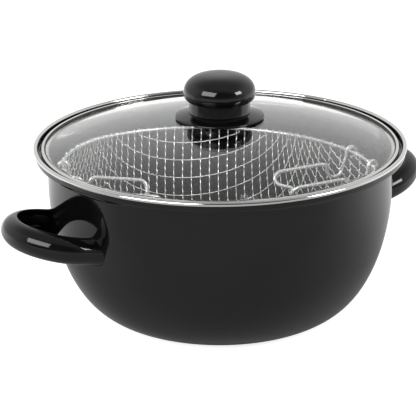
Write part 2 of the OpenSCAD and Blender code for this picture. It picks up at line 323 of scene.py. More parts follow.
class MaterialBench:
    """A new material with its Principled shader, its output and object coordinates."""

    def __init__(self, name: str) -> None:
        """Create the material and its main nodes.

        Args:
            name: The material's name.
        """
        self.material = bpy.data.materials.new(name)
        self.material.use_nodes = True
        self.sheet = NodeSheet(self.material.node_tree)
        nodes = self.material.node_tree.nodes
        self.shader = next(n for n in nodes if n.type == "BSDF_PRINCIPLED")
        self.output = next(n for n in nodes if n.type == "OUTPUT_MATERIAL")
        self.place = self.sheet.add("ShaderNodeTexCoord").outputs["Object"]

    def effect(self, tree: bpy.types.NodeTree, **values: float) -> bpy.types.bpy_prop_collection:
        """Place a shared effect, fed with object coordinates, and return its outputs.

        Args:
            tree: The effect's node group.
            **values: Values of its inputs, by name.

        Returns:
            The effect's outputs.
        """
        node = self.sheet.add("ShaderNodeGroup")
        node.node_tree = tree
        self.sheet.feed(node, Vector=self.place, **values)
        return node.outputs

    def worn(
        self, effects: Effects, low: float, high: float, scale: float,
    ) -> bpy.types.bpy_prop_collection:
        """Drive the roughness with handling marks.

        Args:
            effects: The shared effects.
            low: Roughness of the clean surface.
            high: Roughness of the marks.
            scale: Scale of the marks.

        Returns:
            The marks' outputs.
        """
        marks = self.effect(effects.handling, Low=low, High=high, Scale=scale)
        self.drive(Roughness=marks["Roughness"])
        return marks

    def mix(self, mask: bpy.types.NodeSocket, low: Colour, high: Colour) -> bpy.types.NodeSocket:
        """Mix two colours by a mask.

        Args:
            mask: Share of the second colour.
            low: Colour where the mask is 0.
            high: Colour where the mask is 1.

        Returns:
            The mixed colour.
        """
        node = self.sheet.grow("ShaderNodeMix", {"data_type": "RGBA"}, Factor=mask)
        first, second = (s for s in node.inputs if s.type == "RGBA")
        first.default_value = low
        second.default_value = high
        return next(s for s in node.outputs if s.type == "RGBA")

    def bump(self, height: bpy.types.NodeSocket, strength: float, distance: float) -> None:
        """Drive the shader's normal from a height, by a strength and a distance."""
        node = self.sheet.grow("ShaderNodeBump", Strength=strength, Distance=distance, Height=height)
        self.drive(Normal=node.outputs["Normal"])

    def set(self, **values: float) -> None:
        """Set plain values on the shader's own sockets."""
        for name, value in values.items():
            self.shader.inputs[name.replace("_", " ")].default_value = value

    def drive(self, **sources: bpy.types.NodeSocket) -> None:
        """Link outputs to the shader's inputs."""
        for name, source in sources.items():
            self.sheet.link(source, self.shader.inputs[name.replace("_", " ")])


@dataclass(frozen=True)
class GlossFinish:
    """A fired, moulded or cut surface, from a deep gloss to dull, with faint wipe marks."""

    name: str
    deep: Colour
    light: Colour
    low_roughness: float
    high_roughness: float
    marks_scale: float = 30.0
    wave_scale: float = 60.0
    pit_scale: float = 500.0
    wave_strength: float = 0.08
    wave_height: float = 0.25 * MM
    specular: float = 0.5

    def build(self, effects: Effects) -> bpy.types.Material:
        """Build the material.

        Args:
            effects: The shared effects.

        Returns:
            The material.
        """
        bench = MaterialBench(self.name)
        marks = bench.worn(effects, self.low_roughness, self.high_roughness, self.marks_scale)
        flow = bench.effect(effects.flow, Wave_Scale=self.wave_scale, Pit_Scale=self.pit_scale)
        bench.drive(Base_Color=bench.mix(marks["Mask"], self.deep, self.light))
        bench.set(Specular_IOR_Level=self.specular)
        bench.bump(flow["Height"], self.wave_strength, self.wave_height)
        return bench.material


@dataclass(frozen=True)
class LinedMetalFinish:
    """Bare metal with the fine lines that rolling, polishing or turning leaves."""

    name: str
    bright: Colour
    dull: Colour
    low_roughness: float = 0.22
    high_roughness: float = 0.38
    marks_scale: float = 80.0
    line_scale: float = 9000.0
    arc_scale: float = 2.0
    line_strength: float = 0.15
    line_height: float = 0.04 * MM

    def build(self, effects: Effects) -> bpy.types.Material:
        """Build the material.

        Args:
            effects: The shared effects.

        Returns:
            The material.
        """
        bench = MaterialBench(self.name)
        lines = bench.effect(effects.turning, Line_Scale=self.line_scale, Arc_Scale=self.arc_scale)
        bench.worn(effects, self.low_roughness, self.high_roughness, self.marks_scale)
        bench.drive(Base_Color=bench.mix(lines["Height"], self.dull, self.bright))
        bench.set(Metallic=1.0)
        bench.bump(lines["Height"], self.line_strength, self.line_height)
        return bench.material


@dataclass(frozen=True)
class TinnedWireFinish:
    """Bright tinned steel wire."""

    name: str = "tinned_wire"
    bright: Colour = (0.93, 0.925, 0.91, 1.0)
    dull: Colour = (0.72, 0.715, 0.70, 1.0)
    low_roughness: float = 0.18
    high_roughness: float = 0.32
    metal: float = 0.72
    specular: float = 0.6
    grain: float = 420.0
    grain_strength: float = 0.08
    grain_height: float = 0.05 * MM

    def build(self, effects: Effects) -> bpy.types.Material:
        """Build the material.

        Args:
            effects: The shared effects.

        Returns:
            The material.
        """
        bench = MaterialBench(self.name)
        drawn = bench.effect(effects.drawn, Scale=self.grain)
        tone = bench.sheet.remap(drawn["Tone"], 0.0, 1.0, self.high_roughness, self.low_roughness)
        bench.drive(Base_Color=bench.mix(drawn["Tone"], self.dull, self.bright), Roughness=tone)
        bench.set(Metallic=self.metal, Specular_IOR_Level=self.specular)
        bench.bump(drawn["Height"], self.grain_strength, self.grain_height)
        return bench.material


@dataclass(frozen=True)
class LidGlassFinish:
    """Clear tempered glass that lets lamps light what is under it."""

    name: str = "tempered_glass"
    clear: Colour = (0.985, 0.995, 0.99, 1.0)
    faint: Colour = (0.965, 0.98, 0.975, 1.0)
    lamp_tint: Colour = (0.93, 0.94, 0.935, 1.0)
    smear_scale: float = 9.0
    smear_roughness: float = 0.02
    wave_scale: float = 20.0
    pit_scale: float = 90.0
    wave_strength: float = 0.03
    wave_height: float = 0.2 * MM
    refraction: float = 1.5

    def build(self, effects: Effects) -> bpy.types.Material:
        """Build the material.

        Args:
            effects: The shared effects.

        Returns:
            The material.
        """
        bench = MaterialBench(self.name)
        marks = bench.effect(
            effects.handling, Low=0.0, High=self.smear_roughness, Scale=self.smear_scale
        )
        flow = bench.effect(effects.flow, Wave_Scale=self.wave_scale, Pit_Scale=self.pit_scale)
        bench.drive(Base_Color=bench.mix(marks["Mask"], self.clear, self.faint))
        bench.set(Transmission_Weight=1.0, IOR=self.refraction, Roughness=0.0)
        bench.bump(flow["Height"], self.wave_strength, self.wave_height)
        path = bench.sheet.add("ShaderNodeLightPath")
        passing = bench.sheet.grow("ShaderNodeBsdfTransparent", Color=self.lamp_tint)
        choice = bench.sheet.grow(
            "ShaderNodeMixShader", i0=path.outputs["Is Shadow Ray"], i1=bench.shader.outputs[0],
            i2=passing.outputs[0],
        )
        bench.sheet.link(choice.outputs[0], bench.output.inputs["Surface"])
        return bench.material


class FinishShelf:
    """Every finish of the object, built once and picked by slot."""

    def __init__(self) -> None:
        """Build the materials."""
        effects = Effects()
        finishes = {
            Slot.ENAMEL: GlossFinish(
                "black_enamel", (0.0020, 0.0020, 0.0022, 1.0), (0.0042, 0.0042, 0.0046, 1.0),
                0.035, 0.085, marks_scale=14.0, wave_scale=38.0, pit_scale=240.0,
                wave_strength=0.10, wave_height=0.4 * MM, specular=0.36,
            ),
            Slot.STEEL_BAND: LinedMetalFinish(
                "polished_steel_strip", (0.74, 0.73, 0.715, 1.0), (0.60, 0.59, 0.58, 1.0),
                0.05, 0.11, marks_scale=22.0, line_scale=5200.0, arc_scale=6.0,
                line_strength=0.06, line_height=0.05 * MM,
            ),
            Slot.WIRE: TinnedWireFinish(),
            Slot.LID_GLASS: LidGlassFinish(),
            Slot.SEAL: GlossFinish(
                "black_seal", (0.006, 0.006, 0.006, 1.0), (0.016, 0.016, 0.015, 1.0), 0.38, 0.55
            ),
            Slot.KNOB: GlossFinish(
                "polished_phenolic", (0.0018, 0.0018, 0.0018, 1.0), (0.0040, 0.0040, 0.0040, 1.0),
                0.045, 0.10, wave_scale=30.0, pit_scale=320.0, wave_strength=0.05, specular=0.42,
            ),
            Slot.INSERT: LinedMetalFinish(
                "turned_brass", (0.83, 0.64, 0.32, 1.0), (0.62, 0.45, 0.20, 1.0)
            ),
            Slot.GASKET: GlossFinish(
                "grey_silicone", (0.30, 0.30, 0.29, 1.0), (0.40, 0.40, 0.385, 1.0), 0.45, 0.60
            ),
            Slot.SCREW_STEEL: LinedMetalFinish(
                "plated_steel", (0.78, 0.78, 0.77, 1.0), (0.60, 0.60, 0.60, 1.0)
            ),
        }
        self.materials = {slot: finish.build(effects) for slot, finish in finishes.items()}

    def pick(self, slot: Slot) -> bpy.types.Material:
        """Return the material of a slot."""
        return self.materials[slot]


# ----------------------------------------------------------------------------------------------
# Outlines and meshes
# ----------------------------------------------------------------------------------------------


def arc(
    centre: tuple[float, float], radii: tuple[float, float], start: float, end: float, steps: int,
) -> Profile:
    """Points along an arc of an ellipse.

    Args:
        centre: Centre of the ellipse.
        radii: Half widths along the first and the second axis.
        start: First angle in degrees.
        end: Last angle in degrees.
        steps: Number of equal steps.

    Returns:
        The points, both ends included.
    """
    angles = [math.radians(start + (end - start) * k / steps) for k in range(steps + 1)]
    return [(centre[0] + radii[0] * math.cos(a), centre[1] + radii[1] * math.sin(a)) for a in angles]


def rounded(corners: Sequence[tuple[float, float, float]], steps: int = 5) -> Profile:
    """A closed outline with rounded corners.

    Args:
        corners: For each corner its two coordinates and its rounding radius.
        steps: Steps of each rounding.

    Returns:
        The outline's points.
    """
    outline: Profile = []
    count = len(corners)
    for k, (x, y, radius) in enumerate(corners):
        here = np.array((x, y))
        before = np.array(corners[k - 1][:2]) - here
        after = np.array(corners[(k + 1) % count][:2]) - here
        if radius <= 0.0:
            outline.append((x, y))
            continue
        before /= np.linalg.norm(before)
        after /= np.linalg.norm(after)
        half = math.acos(float(np.clip(before @ after, -1.0, 1.0))) / 2.0
        reach = radius / math.tan(half)
        first, last = here + before * reach, here + after * reach
        middle = here + (before + after) / np.linalg.norm(before + after) * (radius / math.sin(half))
        for j in range(steps + 1):
            spot = first + (last - first) * j / steps - middle
            spot = middle + spot / np.linalg.norm(spot) * radius
            outline.append((float(spot[0]), float(spot[1])))
    return outline


@dataclass(frozen=True)
class ButtSeam:
    """The fine groove where the two ends of a steel strip meet."""

    angle: float
    width: float
    depth: float
    open_share: float = 0.45
    close_steps: tuple[float, ...] = (-1.0, -0.6, -0.3, 0.0, 0.3, 0.6, 1.0)
    clear_share: float = 1.5

    def off(self, angle: float) -> float:
        """Angle between a place on the ring and the seam."""
        return min(abs(angle - self.angle), FULL_TURN - abs(angle - self.angle))

    def pinch(self, angle: float) -> float:
        """Share of the section that the groove takes at an angle."""
        return self.depth if self.off(angle) / self.width < self.open_share else 0.0


def ring_angles(segments: int, seam: ButtSeam | None) -> list[float]:
    """Angles round a ring, closer together at its seam.

    Args:
        segments: Number of even steps.
        seam: The ring's seam, or None.

    Returns:
        The angles, in radians, sorted where there is a seam.
    """
    even = [FULL_TURN * k / segments for k in range(segments)]
    if seam is None:
        return even
    close = [seam.angle + seam.width * step for step in seam.close_steps]
    kept = [a for a in even if seam.off(a) > seam.clear_share * seam.width]
    return sorted(kept + [a % FULL_TURN for a in close])


@dataclass(frozen=True)
class Ticket:
    """A piece's name, its finish, the body it rides on and the CAD nodes it stands for.

    Edges bent by more than sharp_angle degrees stay sharp.
    """

    name: str
    slot: Slot
    body: Body
    replaces: tuple[str, ...] = ()
    sharp_angle: float = 40.0


class MeshBench:
    """Makes finished objects out of points and faces."""

    def __init__(self, finishes: FinishShelf) -> None:
        """Keep the finishes that pieces are dressed in."""
        self.finishes = finishes

    def piece(
        self, ticket: Ticket, points: Points, faces: Iterable[Sequence[int]],
    ) -> bpy.types.Object:
        """Make an object, give it its finish and fix it to its body.

        Args:
            ticket: What the piece is.
            points: Corner points, one row each.
            faces: Corner numbers of each face.

        Returns:
            The new object.
        """
        mesh = bpy.data.meshes.new(ticket.name)
        mesh.from_pydata([tuple(map(float, p)) for p in points], [], [tuple(f) for f in faces])
        mesh.validate()
        return self.dress(mesh, ticket)

    def dress(self, mesh: bpy.types.Mesh, ticket: Ticket) -> bpy.types.Object:
        """Shade a mesh smooth, give it its finish and fix it to its body.

        Args:
            mesh: The finished mesh.
            ticket: What the piece is.

        Returns:
            The new object.
        """
        mesh.name = ticket.name
        mesh.shade_smooth()
        mesh.set_sharp_from_angle(angle=math.radians(ticket.sharp_angle))
        mesh.materials.clear()
        mesh.materials.append(self.finishes.pick(ticket.slot))
        item = bpy.data.objects.new(ticket.name, mesh)
        bpy.context.scene.collection.objects.link(item)
        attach(item, ticket.body.value)
        if ticket.replaces:
            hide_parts(*ticket.replaces)
        LOG.info("%s: %d faces on %s", ticket.name, len(mesh.polygons), ticket.body.value)
        return item

    def revolve(
        self, ticket: Ticket, outline: Profile, segments: int = 192, seam: ButtSeam | None = None,
    ) -> bpy.types.Object:
        """Turn a closed outline round the Z axis.

        The outline runs so that the solid lies on its left; points on the axis become one point.

        Args:
            ticket: What the piece is.
            outline: Radius and height of each point, in order.
            segments: Number of steps round the axis.
            seam: Groove across the ring, or None.

        Returns:
            The new object.
        """
        middle = np.mean(np.array(outline), axis=0)
        angles = ring_angles(segments, seam)
        points: list[tuple[float, float, float]] = []
        rows: list[list[int]] = []
        for radius, height in outline:
            if radius < AXIS_R:
                rows.append([len(points)] * len(angles))
                points.append((0.0, 0.0, height))
                continue
            rows.append(list(range(len(points), len(points) + len(angles))))
            for a in angles:
                pinch = seam.pinch(a) if seam else 0.0
                r = radius + (middle[0] - radius) * pinch
                z = height + (middle[1] - height) * pinch
                points.append((r * math.cos(a), r * math.sin(a), z))
        faces = []
        for k, low in enumerate(rows):
            high = rows[(k + 1) % len(rows)]
            if low[0] == low[-1] and high[0] == high[-1]:
                continue
            for j in range(len(angles)):
                m = (j + 1) % len(angles)
                face = list(dict.fromkeys((low[j], low[m], high[m], high[j])))
                if len(face) > 2:
                    faces.append(face)
        return self.piece(ticket, np.array(points), faces)


# ----------------------------------------------------------------------------------------------
# Geometry Nodes
# ----------------------------------------------------------------------------------------------


class WireMill:
    """Draws round wire along chains of edges, with crimps where an attribute asks for them."""

    OUT = "crimp_out"
    WAVE = "crimp_wave"

    def __init__(self, bench: MeshBench) -> None:
        """Keep the mesh bench and build the node tree once."""
        self.bench = bench
        self.tree, self.keys = self._build_tree()

    def _build_tree(self) -> tuple[bpy.types.NodeTree, dict[str, str]]:
        """Build the tree that turns edges into wire.

        Returns:
            The tree, and the identifier of each of its named inputs.
        """
        tree = bpy.data.node_groups.new("wire_mill", "GeometryNodeTree")
        kinds = {
            "Geometry": "NodeSocketGeometry",
            "Wire Radius": "NodeSocketFloat",
            "Crimp Height": "NodeSocketFloat",
            "Sides": "NodeSocketInt",
            "Finish": "NodeSocketMaterial",
        }
        keys = {}
        for label, kind in kinds.items():
            socket = tree.interface.new_socket(name=label, in_out="INPUT", socket_type=kind)
            keys[label] = socket.identifier
        tree.interface.new_socket(name="Geometry", in_out="OUTPUT", socket_type="NodeSocketGeometry")
        sheet = NodeSheet(tree)
        inlet = sheet.add("NodeGroupInput").outputs
        outlet = sheet.add("NodeGroupOutput").inputs

        chain = sheet.grow("GeometryNodeMeshToCurve", Mesh=inlet["Geometry"])
        named = "GeometryNodeInputNamedAttribute"
        out = sheet.grow(named, {"data_type": "FLOAT_VECTOR"}, Name=self.OUT)
        wave = sheet.grow(named, {"data_type": "FLOAT"}, Name=self.WAVE)
        height = sheet.math("MULTIPLY", wave.outputs["Attribute"], inlet["Crimp Height"])
        shift = sheet.grow(
            "ShaderNodeVectorMath", {"operation": "SCALE"}, Vector=out.outputs["Attribute"], Scale=height
        )
        crimp = sheet.grow(
            "GeometryNodeSetPosition", Geometry=chain.outputs["Curve"], Offset=shift.outputs["Vector"]
        )
        section = sheet.grow(
            "GeometryNodeCurvePrimitiveCircle", Resolution=inlet["Sides"], Radius=inlet["Wire Radius"]
        )
        wire = sheet.grow(
            "GeometryNodeCurveToMesh", Curve=crimp.outputs["Geometry"],
            Profile_Curve=section.outputs["Curve"], Fill_Caps=True,
        )
        real = sheet.grow("GeometryNodeRealizeInstances", Geometry=wire.outputs["Mesh"])
        paint = sheet.grow(
            "GeometryNodeSetMaterial", Geometry=real.outputs["Geometry"], Material=inlet["Finish"]
        )
        sheet.link(paint.outputs["Geometry"], outlet["Geometry"])
        return tree, keys

    def draw(
        self, ticket: Ticket, chains: Sequence["WireChain"], radius: float, sides: int,
        crimp: float = 0.0,
    ) -> bpy.types.Object:
        """Make one piece of wire, or of many wires.

        Args:
            ticket: What the piece is.
            chains: The wires' centre lines.
            radius: Radius of the wire.
            sides: Sides of the wire's section.
            crimp: Height of the crimps on each side of the centre line.

        Returns:
            The new object.
        """
        points = np.concatenate([c.points for c in chains])
        edges: list[tuple[int, int]] = []
        start = 0
        for chain in chains:
            count = len(chain.points)
            edges += [(start + k, start + k + 1) for k in range(count - 1)]
            if chain.closed:
                edges.append((start + count - 1, start))
            start += count
        mesh = bpy.data.meshes.new(ticket.name + "_lines")
        mesh.from_pydata([tuple(map(float, p)) for p in points], edges, [])
        out = mesh.attributes.new(self.OUT, "FLOAT_VECTOR", "POINT")
        outs = np.concatenate([c.out for c in chains]).astype(np.float32)
        out.data.foreach_set("vector", outs.ravel())
        wave = mesh.attributes.new(self.WAVE, "FLOAT", "POINT")
        wave.data.foreach_set("value", np.concatenate([c.wave for c in chains]).astype(np.float32))
        lines = bpy.data.objects.new(ticket.name + "_lines", mesh)
        bpy.context.scene.collection.objects.link(lines)
        mill = lines.modifiers.new("mill", "NODES")
        mill.node_group = self.tree
        mill[self.keys["Wire Radius"]] = radius
        mill[self.keys["Crimp Height"]] = crimp
        mill[self.keys["Sides"]] = sides
        mill[self.keys["Finish"]] = self.bench.finishes.pick(ticket.slot)
        graph = bpy.context.evaluated_depsgraph_get()
        wire = bpy.data.meshes.new_from_object(lines.evaluated_get(graph))
        bpy.data.objects.remove(lines)
        for label in (self.OUT, self.WAVE):
            if label in wire.attributes:
                wire.attributes.remove(wire.attributes[label])
        return self.bench.dress(wire, ticket)


@dataclass
class WireChain:
    """Centre line of one wire, with the direction and size of its crimps at each point."""

    points: Points
    out: Points | None = None
    wave: Points | None = None
    closed: bool = False

    def __post_init__(self) -> None:
        """Fill in a wire without crimps."""
        if self.out is None:
            self.out = np.zeros_like(self.points)
        if self.wave is None:
            self.wave = np.zeros(len(self.points))


# ----------------------------------------------------------------------------------------------
# Pot
# ----------------------------------------------------------------------------------------------


@dataclass
class EnamelPot:
    """The pressed pot with its steel rim band and its two welded handles."""

    bench: MeshBench
    wall_r: float = 130.0 * MM
    base_r: float = 80.5 * MM
    corner_h: float = 101.0 * MM
    wall_t: float = 1.2 * MM
    base_t: float = 1.6 * MM
    neck_drop: float = 13.0 * MM
    flare_drop: float = 5.4 * MM
    flare_in_r: float = 4.5 * MM
    flare_out_r: float = 3.0 * MM
    bead_r: float = 1.6 * MM
    tuck_gap: float = 0.05 * MM
    tuck_rise: float = 0.7 * MM
    lip_rise: float = 0.6 * MM
    recess_r: float = 72.0 * MM
    recess_h: float = 0.35 * MM
    rim_top: float = field(default_factory=lambda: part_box("rim_band")[1].z)
    rim_r: float = field(default_factory=lambda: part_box("rim_band")[1].x)

    def side(self, depth: float) -> Profile:
        """Wall outline at a depth inside the outer face, from the base up to the lip.

        Args:
            depth: Distance from the outer face.

        Returns:
            Radius and height of each point.
        """
        lip_r = self.rim_r - self.bead_r
        inner = (self.wall_r + self.flare_in_r, self.rim_top - self.neck_drop)
        outer = (lip_r + self.wall_t / 2 - self.flare_out_r, self.rim_top - self.flare_drop)
        step = np.array(outer) - np.array(inner)
        lean = math.acos((self.flare_in_r + self.flare_out_r) / float(np.linalg.norm(step)))
        normal = math.degrees(math.atan2(step[1], step[0]) + lean)
        rise = self.corner_h - (self.base_t if depth > 0 else 0.0)
        in_r = self.flare_in_r + depth
        out_r = self.flare_out_r - depth
        return (
            arc((self.base_r, self.corner_h), (self.wall_r - self.base_r - depth, rise), -90, 0, 56)
            + arc(inner, (in_r, in_r), 180, normal, 14)
            + arc(outer, (out_r, out_r), normal - 180, 0, 10)
        )

    def radius_at(self, height: float) -> float:
        """Find the outer radius of the rounded wall.

        Args:
            height: A height below the neck.

        Returns:
            The radius.
        """
        if height >= self.corner_h:
            return self.wall_r
        drop = (self.corner_h - height) / self.corner_h
        return self.base_r + (self.wall_r - self.base_r) * math.sqrt(max(0.0, 1.0 - drop * drop))

    def build(self) -> None:
        """Build the shell, the band and both handles."""
        self.build_shell()
        self.build_band()
        for name, turn in (("left_handle", math.pi), ("right_handle", 0.0)):
            SideHandle(self.bench, self, name, turn).build()

    def build_shell(self) -> None:
        """Build the enamelled shell, with a shallow coined recess under the base."""
        lip_r = self.rim_r - self.bead_r
        lip_top = self.rim_top - self.bead_r + self.lip_rise
        slope = ((-2.0 * MM, 1.0), (-0.6 * MM, 0.8), (0.6 * MM, 0.2), (2.0 * MM, 0.0))
        under = [(0.0, self.recess_h), (self.recess_r * 0.5, self.recess_h)]
        under += [(self.recess_r + shift, self.recess_h * share) for shift, share in slope]
        floor = [(self.base_r * share, self.base_t) for share in (0.8, 0.5, 0.2)] + [(0.0, self.base_t)]
        outline = (
            under + self.side(0.0)
            + [(lip_r + self.wall_t / 2, lip_top), (lip_r - self.wall_t / 2, lip_top)]
            + self.side(self.wall_t)[::-1] + floor
        )
        ticket = Ticket("pot_enamel_shell", Slot.ENAMEL, Body.POT, ("pot_shell",))
        self.bench.revolve(ticket, outline, 256)

    def build_band(self) -> None:
        """Build the steel strip that is rolled round the lip, with its butt seam."""
        r, ring_r, ring_z = self.bead_r, self.rim_r - self.bead_r, self.rim_top - self.bead_r
        bead = arc((ring_r, ring_z), (r, r), -64, 244, 40)
        half = self.wall_t / 2 + self.tuck_gap
        low, high = ring_z - r * 0.86, ring_z + self.tuck_rise
        tuck = [(ring_r - half, low), (ring_r - half, high), (ring_r + half, high), (ring_r + half, low)]
        seam = ButtSeam(math.radians(21.0), math.radians(0.45), 0.12)
        ticket = Ticket("rim_steel_band", Slot.STEEL_BAND, Body.POT, ("rim_band",), 50.0)
        self.bench.revolve(ticket, bead + tuck, 320, seam)


@dataclass
class SideHandle:
    """A hollow pressed loop handle, open towards its inside, welded to the wall at both ends."""

    bench: MeshBench
    pot: EnamelPot
    name: str
    turn: float
    loop_r: float = 38.0 * MM
    section_h: float = 20.0 * MM
    section_d: float = 11.0 * MM
    steel_t: float = 1.4 * MM
    tilt: float = math.radians(13.5)
    join_z: float = 76.5 * MM
    join_r: float = 124.15 * MM
    reach: float = 177.5 * MM
    weld_run: float = 7.0 * MM
    weld_swell: float = 0.05
    weld_power: float = 2.2
    search: tuple[float, float] = (-12.0 * MM, 40.0 * MM)
    halvings: int = 40
    arc_steps: int = 72
    leg_steps: int = 16

    def section(self) -> np.ndarray:
        """Closed outline of the pressed section: out of the loop, and up.

        Returns:
            One row per point.
        """
        bulge_r = (self.section_h ** 2 / 4 + self.section_d ** 2) / (2 * self.section_d)
        spread = math.degrees(math.asin(self.section_h / 2 / bulge_r))
        middle = (self.section_d / 2 - bulge_r, 0.0)
        inner_r = bulge_r - self.steel_t
        outline = arc(middle, (bulge_r, bulge_r), -spread, spread, 30)
        edge_r = self.steel_t / 2
        for side, sweep in ((spread, 1), (-spread, 1)):
            turn = math.radians(side)
            spot = (middle[0] + (bulge_r - edge_r) * math.cos(turn), (bulge_r - edge_r) * math.sin(turn))
            start = side if side > 0 else side + 180
            lip = arc(spot, (edge_r, edge_r), start, start + 180 * sweep, 6)[1:-1]
            if side > 0:
                outline += lip + arc(middle, (inner_r, inner_r), spread, -spread, 24)
            else:
                outline += lip
        return np.array(outline)

    def build(self) -> None:
        """Sweep the section round the loop and end both legs on the wall."""
        loop_x = self.reach - self.section_d / 2 - self.loop_r
        section = self.section()
        angles = [math.pi / 2 - math.pi * k / self.arc_steps for k in range(self.arc_steps + 1)]
        ring_list = [self._ring(loop_x, a, section) for a in angles]
        first = self._leg(ring_list[0], section, 1.0)
        last = self._leg(ring_list[-1], section, -1.0)
        rings = first[::-1] + ring_list + last
        turn = Matrix.Rotation(self.turn, 3, "Z")
        points = np.array([turn @ Vector(p) for ring in rings for p in ring])
        count = len(section)
        faces: list[Sequence[int]] = []
        for i in range(len(rings) - 1):
            for j in range(count):
                m = (j + 1) % count
                faces.append((i * count + j, i * count + m, (i + 1) * count + m, (i + 1) * count + j))
        faces.append(tuple(reversed(range(count))))
        faces.append(tuple((len(rings) - 1) * count + j for j in range(count)))
        ticket = Ticket("enamel_" + self.name, Slot.ENAMEL, Body.POT, (self.name,), 50.0)
        self.bench.piece(ticket, points, [tuple(reversed(f)) for f in faces])

    def _tilted(self, x: float, y: float, up: float) -> np.ndarray:
        """Place a point of the loop's own plane in the frame.

        Args:
            x: Distance outwards along the level loop.
            y: Distance across.
            up: Distance above the loop's plane.

        Returns:
            The point.
        """
        out = x - self.join_r
        return np.array((
            self.join_r + out * math.cos(self.tilt) - up * math.sin(self.tilt),
            y,
            self.join_z + out * math.sin(self.tilt) + up * math.cos(self.tilt),
        ))

    def _ring(self, loop_x: float, angle: float, section: np.ndarray) -> list[np.ndarray]:
        """The section at one angle of the loop's round part.

        Args:
            loop_x: Place of the round part's centre.
            angle: The angle, in radians.
            section: The section's outline.

        Returns:
            The ring's points.
        """
        return [
            self._tilted(
                loop_x + (self.loop_r + n) * math.cos(angle), (self.loop_r + n) * math.sin(angle), up
            )
            for n, up in section
        ]

    def _leg(self, start: list[np.ndarray], section: np.ndarray, side: float) -> list[list[np.ndarray]]:
        """Rings of one leg, from the round part to the wall, swelling into the weld.

        Args:
            start: The last ring of the round part.
            section: The section's outline.
            side: 1 for the leg at +Y, -1 for the leg at -Y.

        Returns:
            The rings, ending on the wall's surface.
        """
        along = np.array((-math.cos(self.tilt), 0.0, -math.sin(self.tilt)))
        up = np.array((-math.sin(self.tilt), 0.0, math.cos(self.tilt)))
        out = np.array((0.0, side, 0.0))
        run = [self._to_wall(p, along) for p in start]
        rings = []
        for k in range(1, self.leg_steps + 1):
            share = k / self.leg_steps
            ring = []
            for point, length, (n, height) in zip(start, run, section):
                left = length * (1.0 - share)
                swell = self.weld_swell * max(0.0, 1.0 - left / self.weld_run) ** self.weld_power
                spot = point + along * (length * share) + (out * n + up * height) * swell
                if k == self.leg_steps:
                    spot = spot + along * self._to_wall(spot, along)
                ring.append(spot)
            rings.append(ring)
        return rings

    def _to_wall(self, point: np.ndarray, along: np.ndarray) -> float:
        """Find where a line meets the pot's wall.

        Args:
            point: Where the line starts.
            along: The line's direction.

        Returns:
            The distance from the point to the wall.
        """
        low, high = self.search
        for _ in range(self.halvings):
            middle = (low + high) / 2
            spot = point + along * middle
            if math.hypot(spot[0], spot[1]) > self.pot.radius_at(spot[2]):
                low = middle
            else:
                high = middle
        return (low + high) / 2


# ----------------------------------------------------------------------------------------------
# Basket
# ----------------------------------------------------------------------------------------------


@dataclass
class BowlSurface:
    """The middle surface of the basket's wire cloth, as a bowl of revolution."""

    floor_r: float
    floor_z: float
    corner_r: float
    corner_h: float
    top_r: float
    top_z: float
    meridian_count: int = 2001
    above: float = 60.0 * MM

    @property
    def wall_z(self) -> float:
        """Height at which the rounded corner meets the upright wall."""
        return self.floor_z + self.corner_h

    @property
    def wall_slope(self) -> float:
        """Outward lean of the upright wall."""
        return (self.top_r - self.floor_r - self.corner_r) / (self.top_z - self.wall_z)

    def offset(self, points: Points) -> tuple[np.ndarray, np.ndarray]:
        """Distance outside the bowl, and its gradient.

        Args:
            points: One row per point.

        Returns:
            A value and a vector for each point.
        """
        x, y, z = points[..., 0], points[..., 1], points[..., 2]
        r = np.hypot(x, y) + TINY
        wide, deep = np.maximum(r - self.floor_r, 0.0) / self.corner_r, (z - self.wall_z) / self.corner_h
        size = np.sqrt(wide ** 2 + deep ** 2) + TINY
        wall = z >= self.wall_z
        flat = (r < self.floor_r) & ~wall
        lean = self.wall_slope
        edge = self.floor_r + self.corner_r + lean * (z - self.wall_z)
        value = np.where(wall, r - edge, np.where(flat, self.floor_z - z, (size - 1.0) * self.corner_r))
        by_r = np.where(wall, 1.0, np.where(flat, 0.0, wide / size))
        by_z = np.where(wall, -lean, np.where(flat, -1.0, deep / size * self.corner_r / self.corner_h))
        return value, np.stack([by_r * x / r, by_r * y / r, by_z], -1)

    def meridian(self, lengths: np.ndarray) -> np.ndarray:
        """Radius and height at distances from the centre along the bowl's surface.

        Args:
            lengths: Distances from the centre.

        Returns:
            Radii and heights, one row each.
        """
        turn = np.linspace(0.0, math.pi / 2, self.meridian_count)
        radius = np.concatenate([[0.0], self.floor_r + self.corner_r * np.sin(turn),
                                 [self.top_r + self.wall_slope * self.above]])
        height = np.concatenate([[self.floor_z], self.wall_z - self.corner_h * np.cos(turn),
                                 [self.top_z + self.above]])
        run = np.concatenate([[0.0], np.cumsum(np.hypot(np.diff(radius), np.diff(height)))])
        return np.stack([np.interp(lengths, run, radius), np.interp(lengths, run, height)], -1)


@dataclass(frozen=True)
class WireFamily:
    """How one of the cloth's two families of wires lies in the net."""

    travel: int
    pitch: int
    cell: int
    waves: int
    centred: bool

    def crimps(self, steps: np.ndarray) -> np.ndarray:
        """Crimps along a wire, highest where it crosses the other family.

        Args:
            steps: Net steps along the wire, from the bowl's centre line.

        Returns:
            Values from -1 to 1.
        """
        turns = math.pi * self.waves * steps / self.cell
        return np.sin(turns) if self.centred else np.cos(turns)


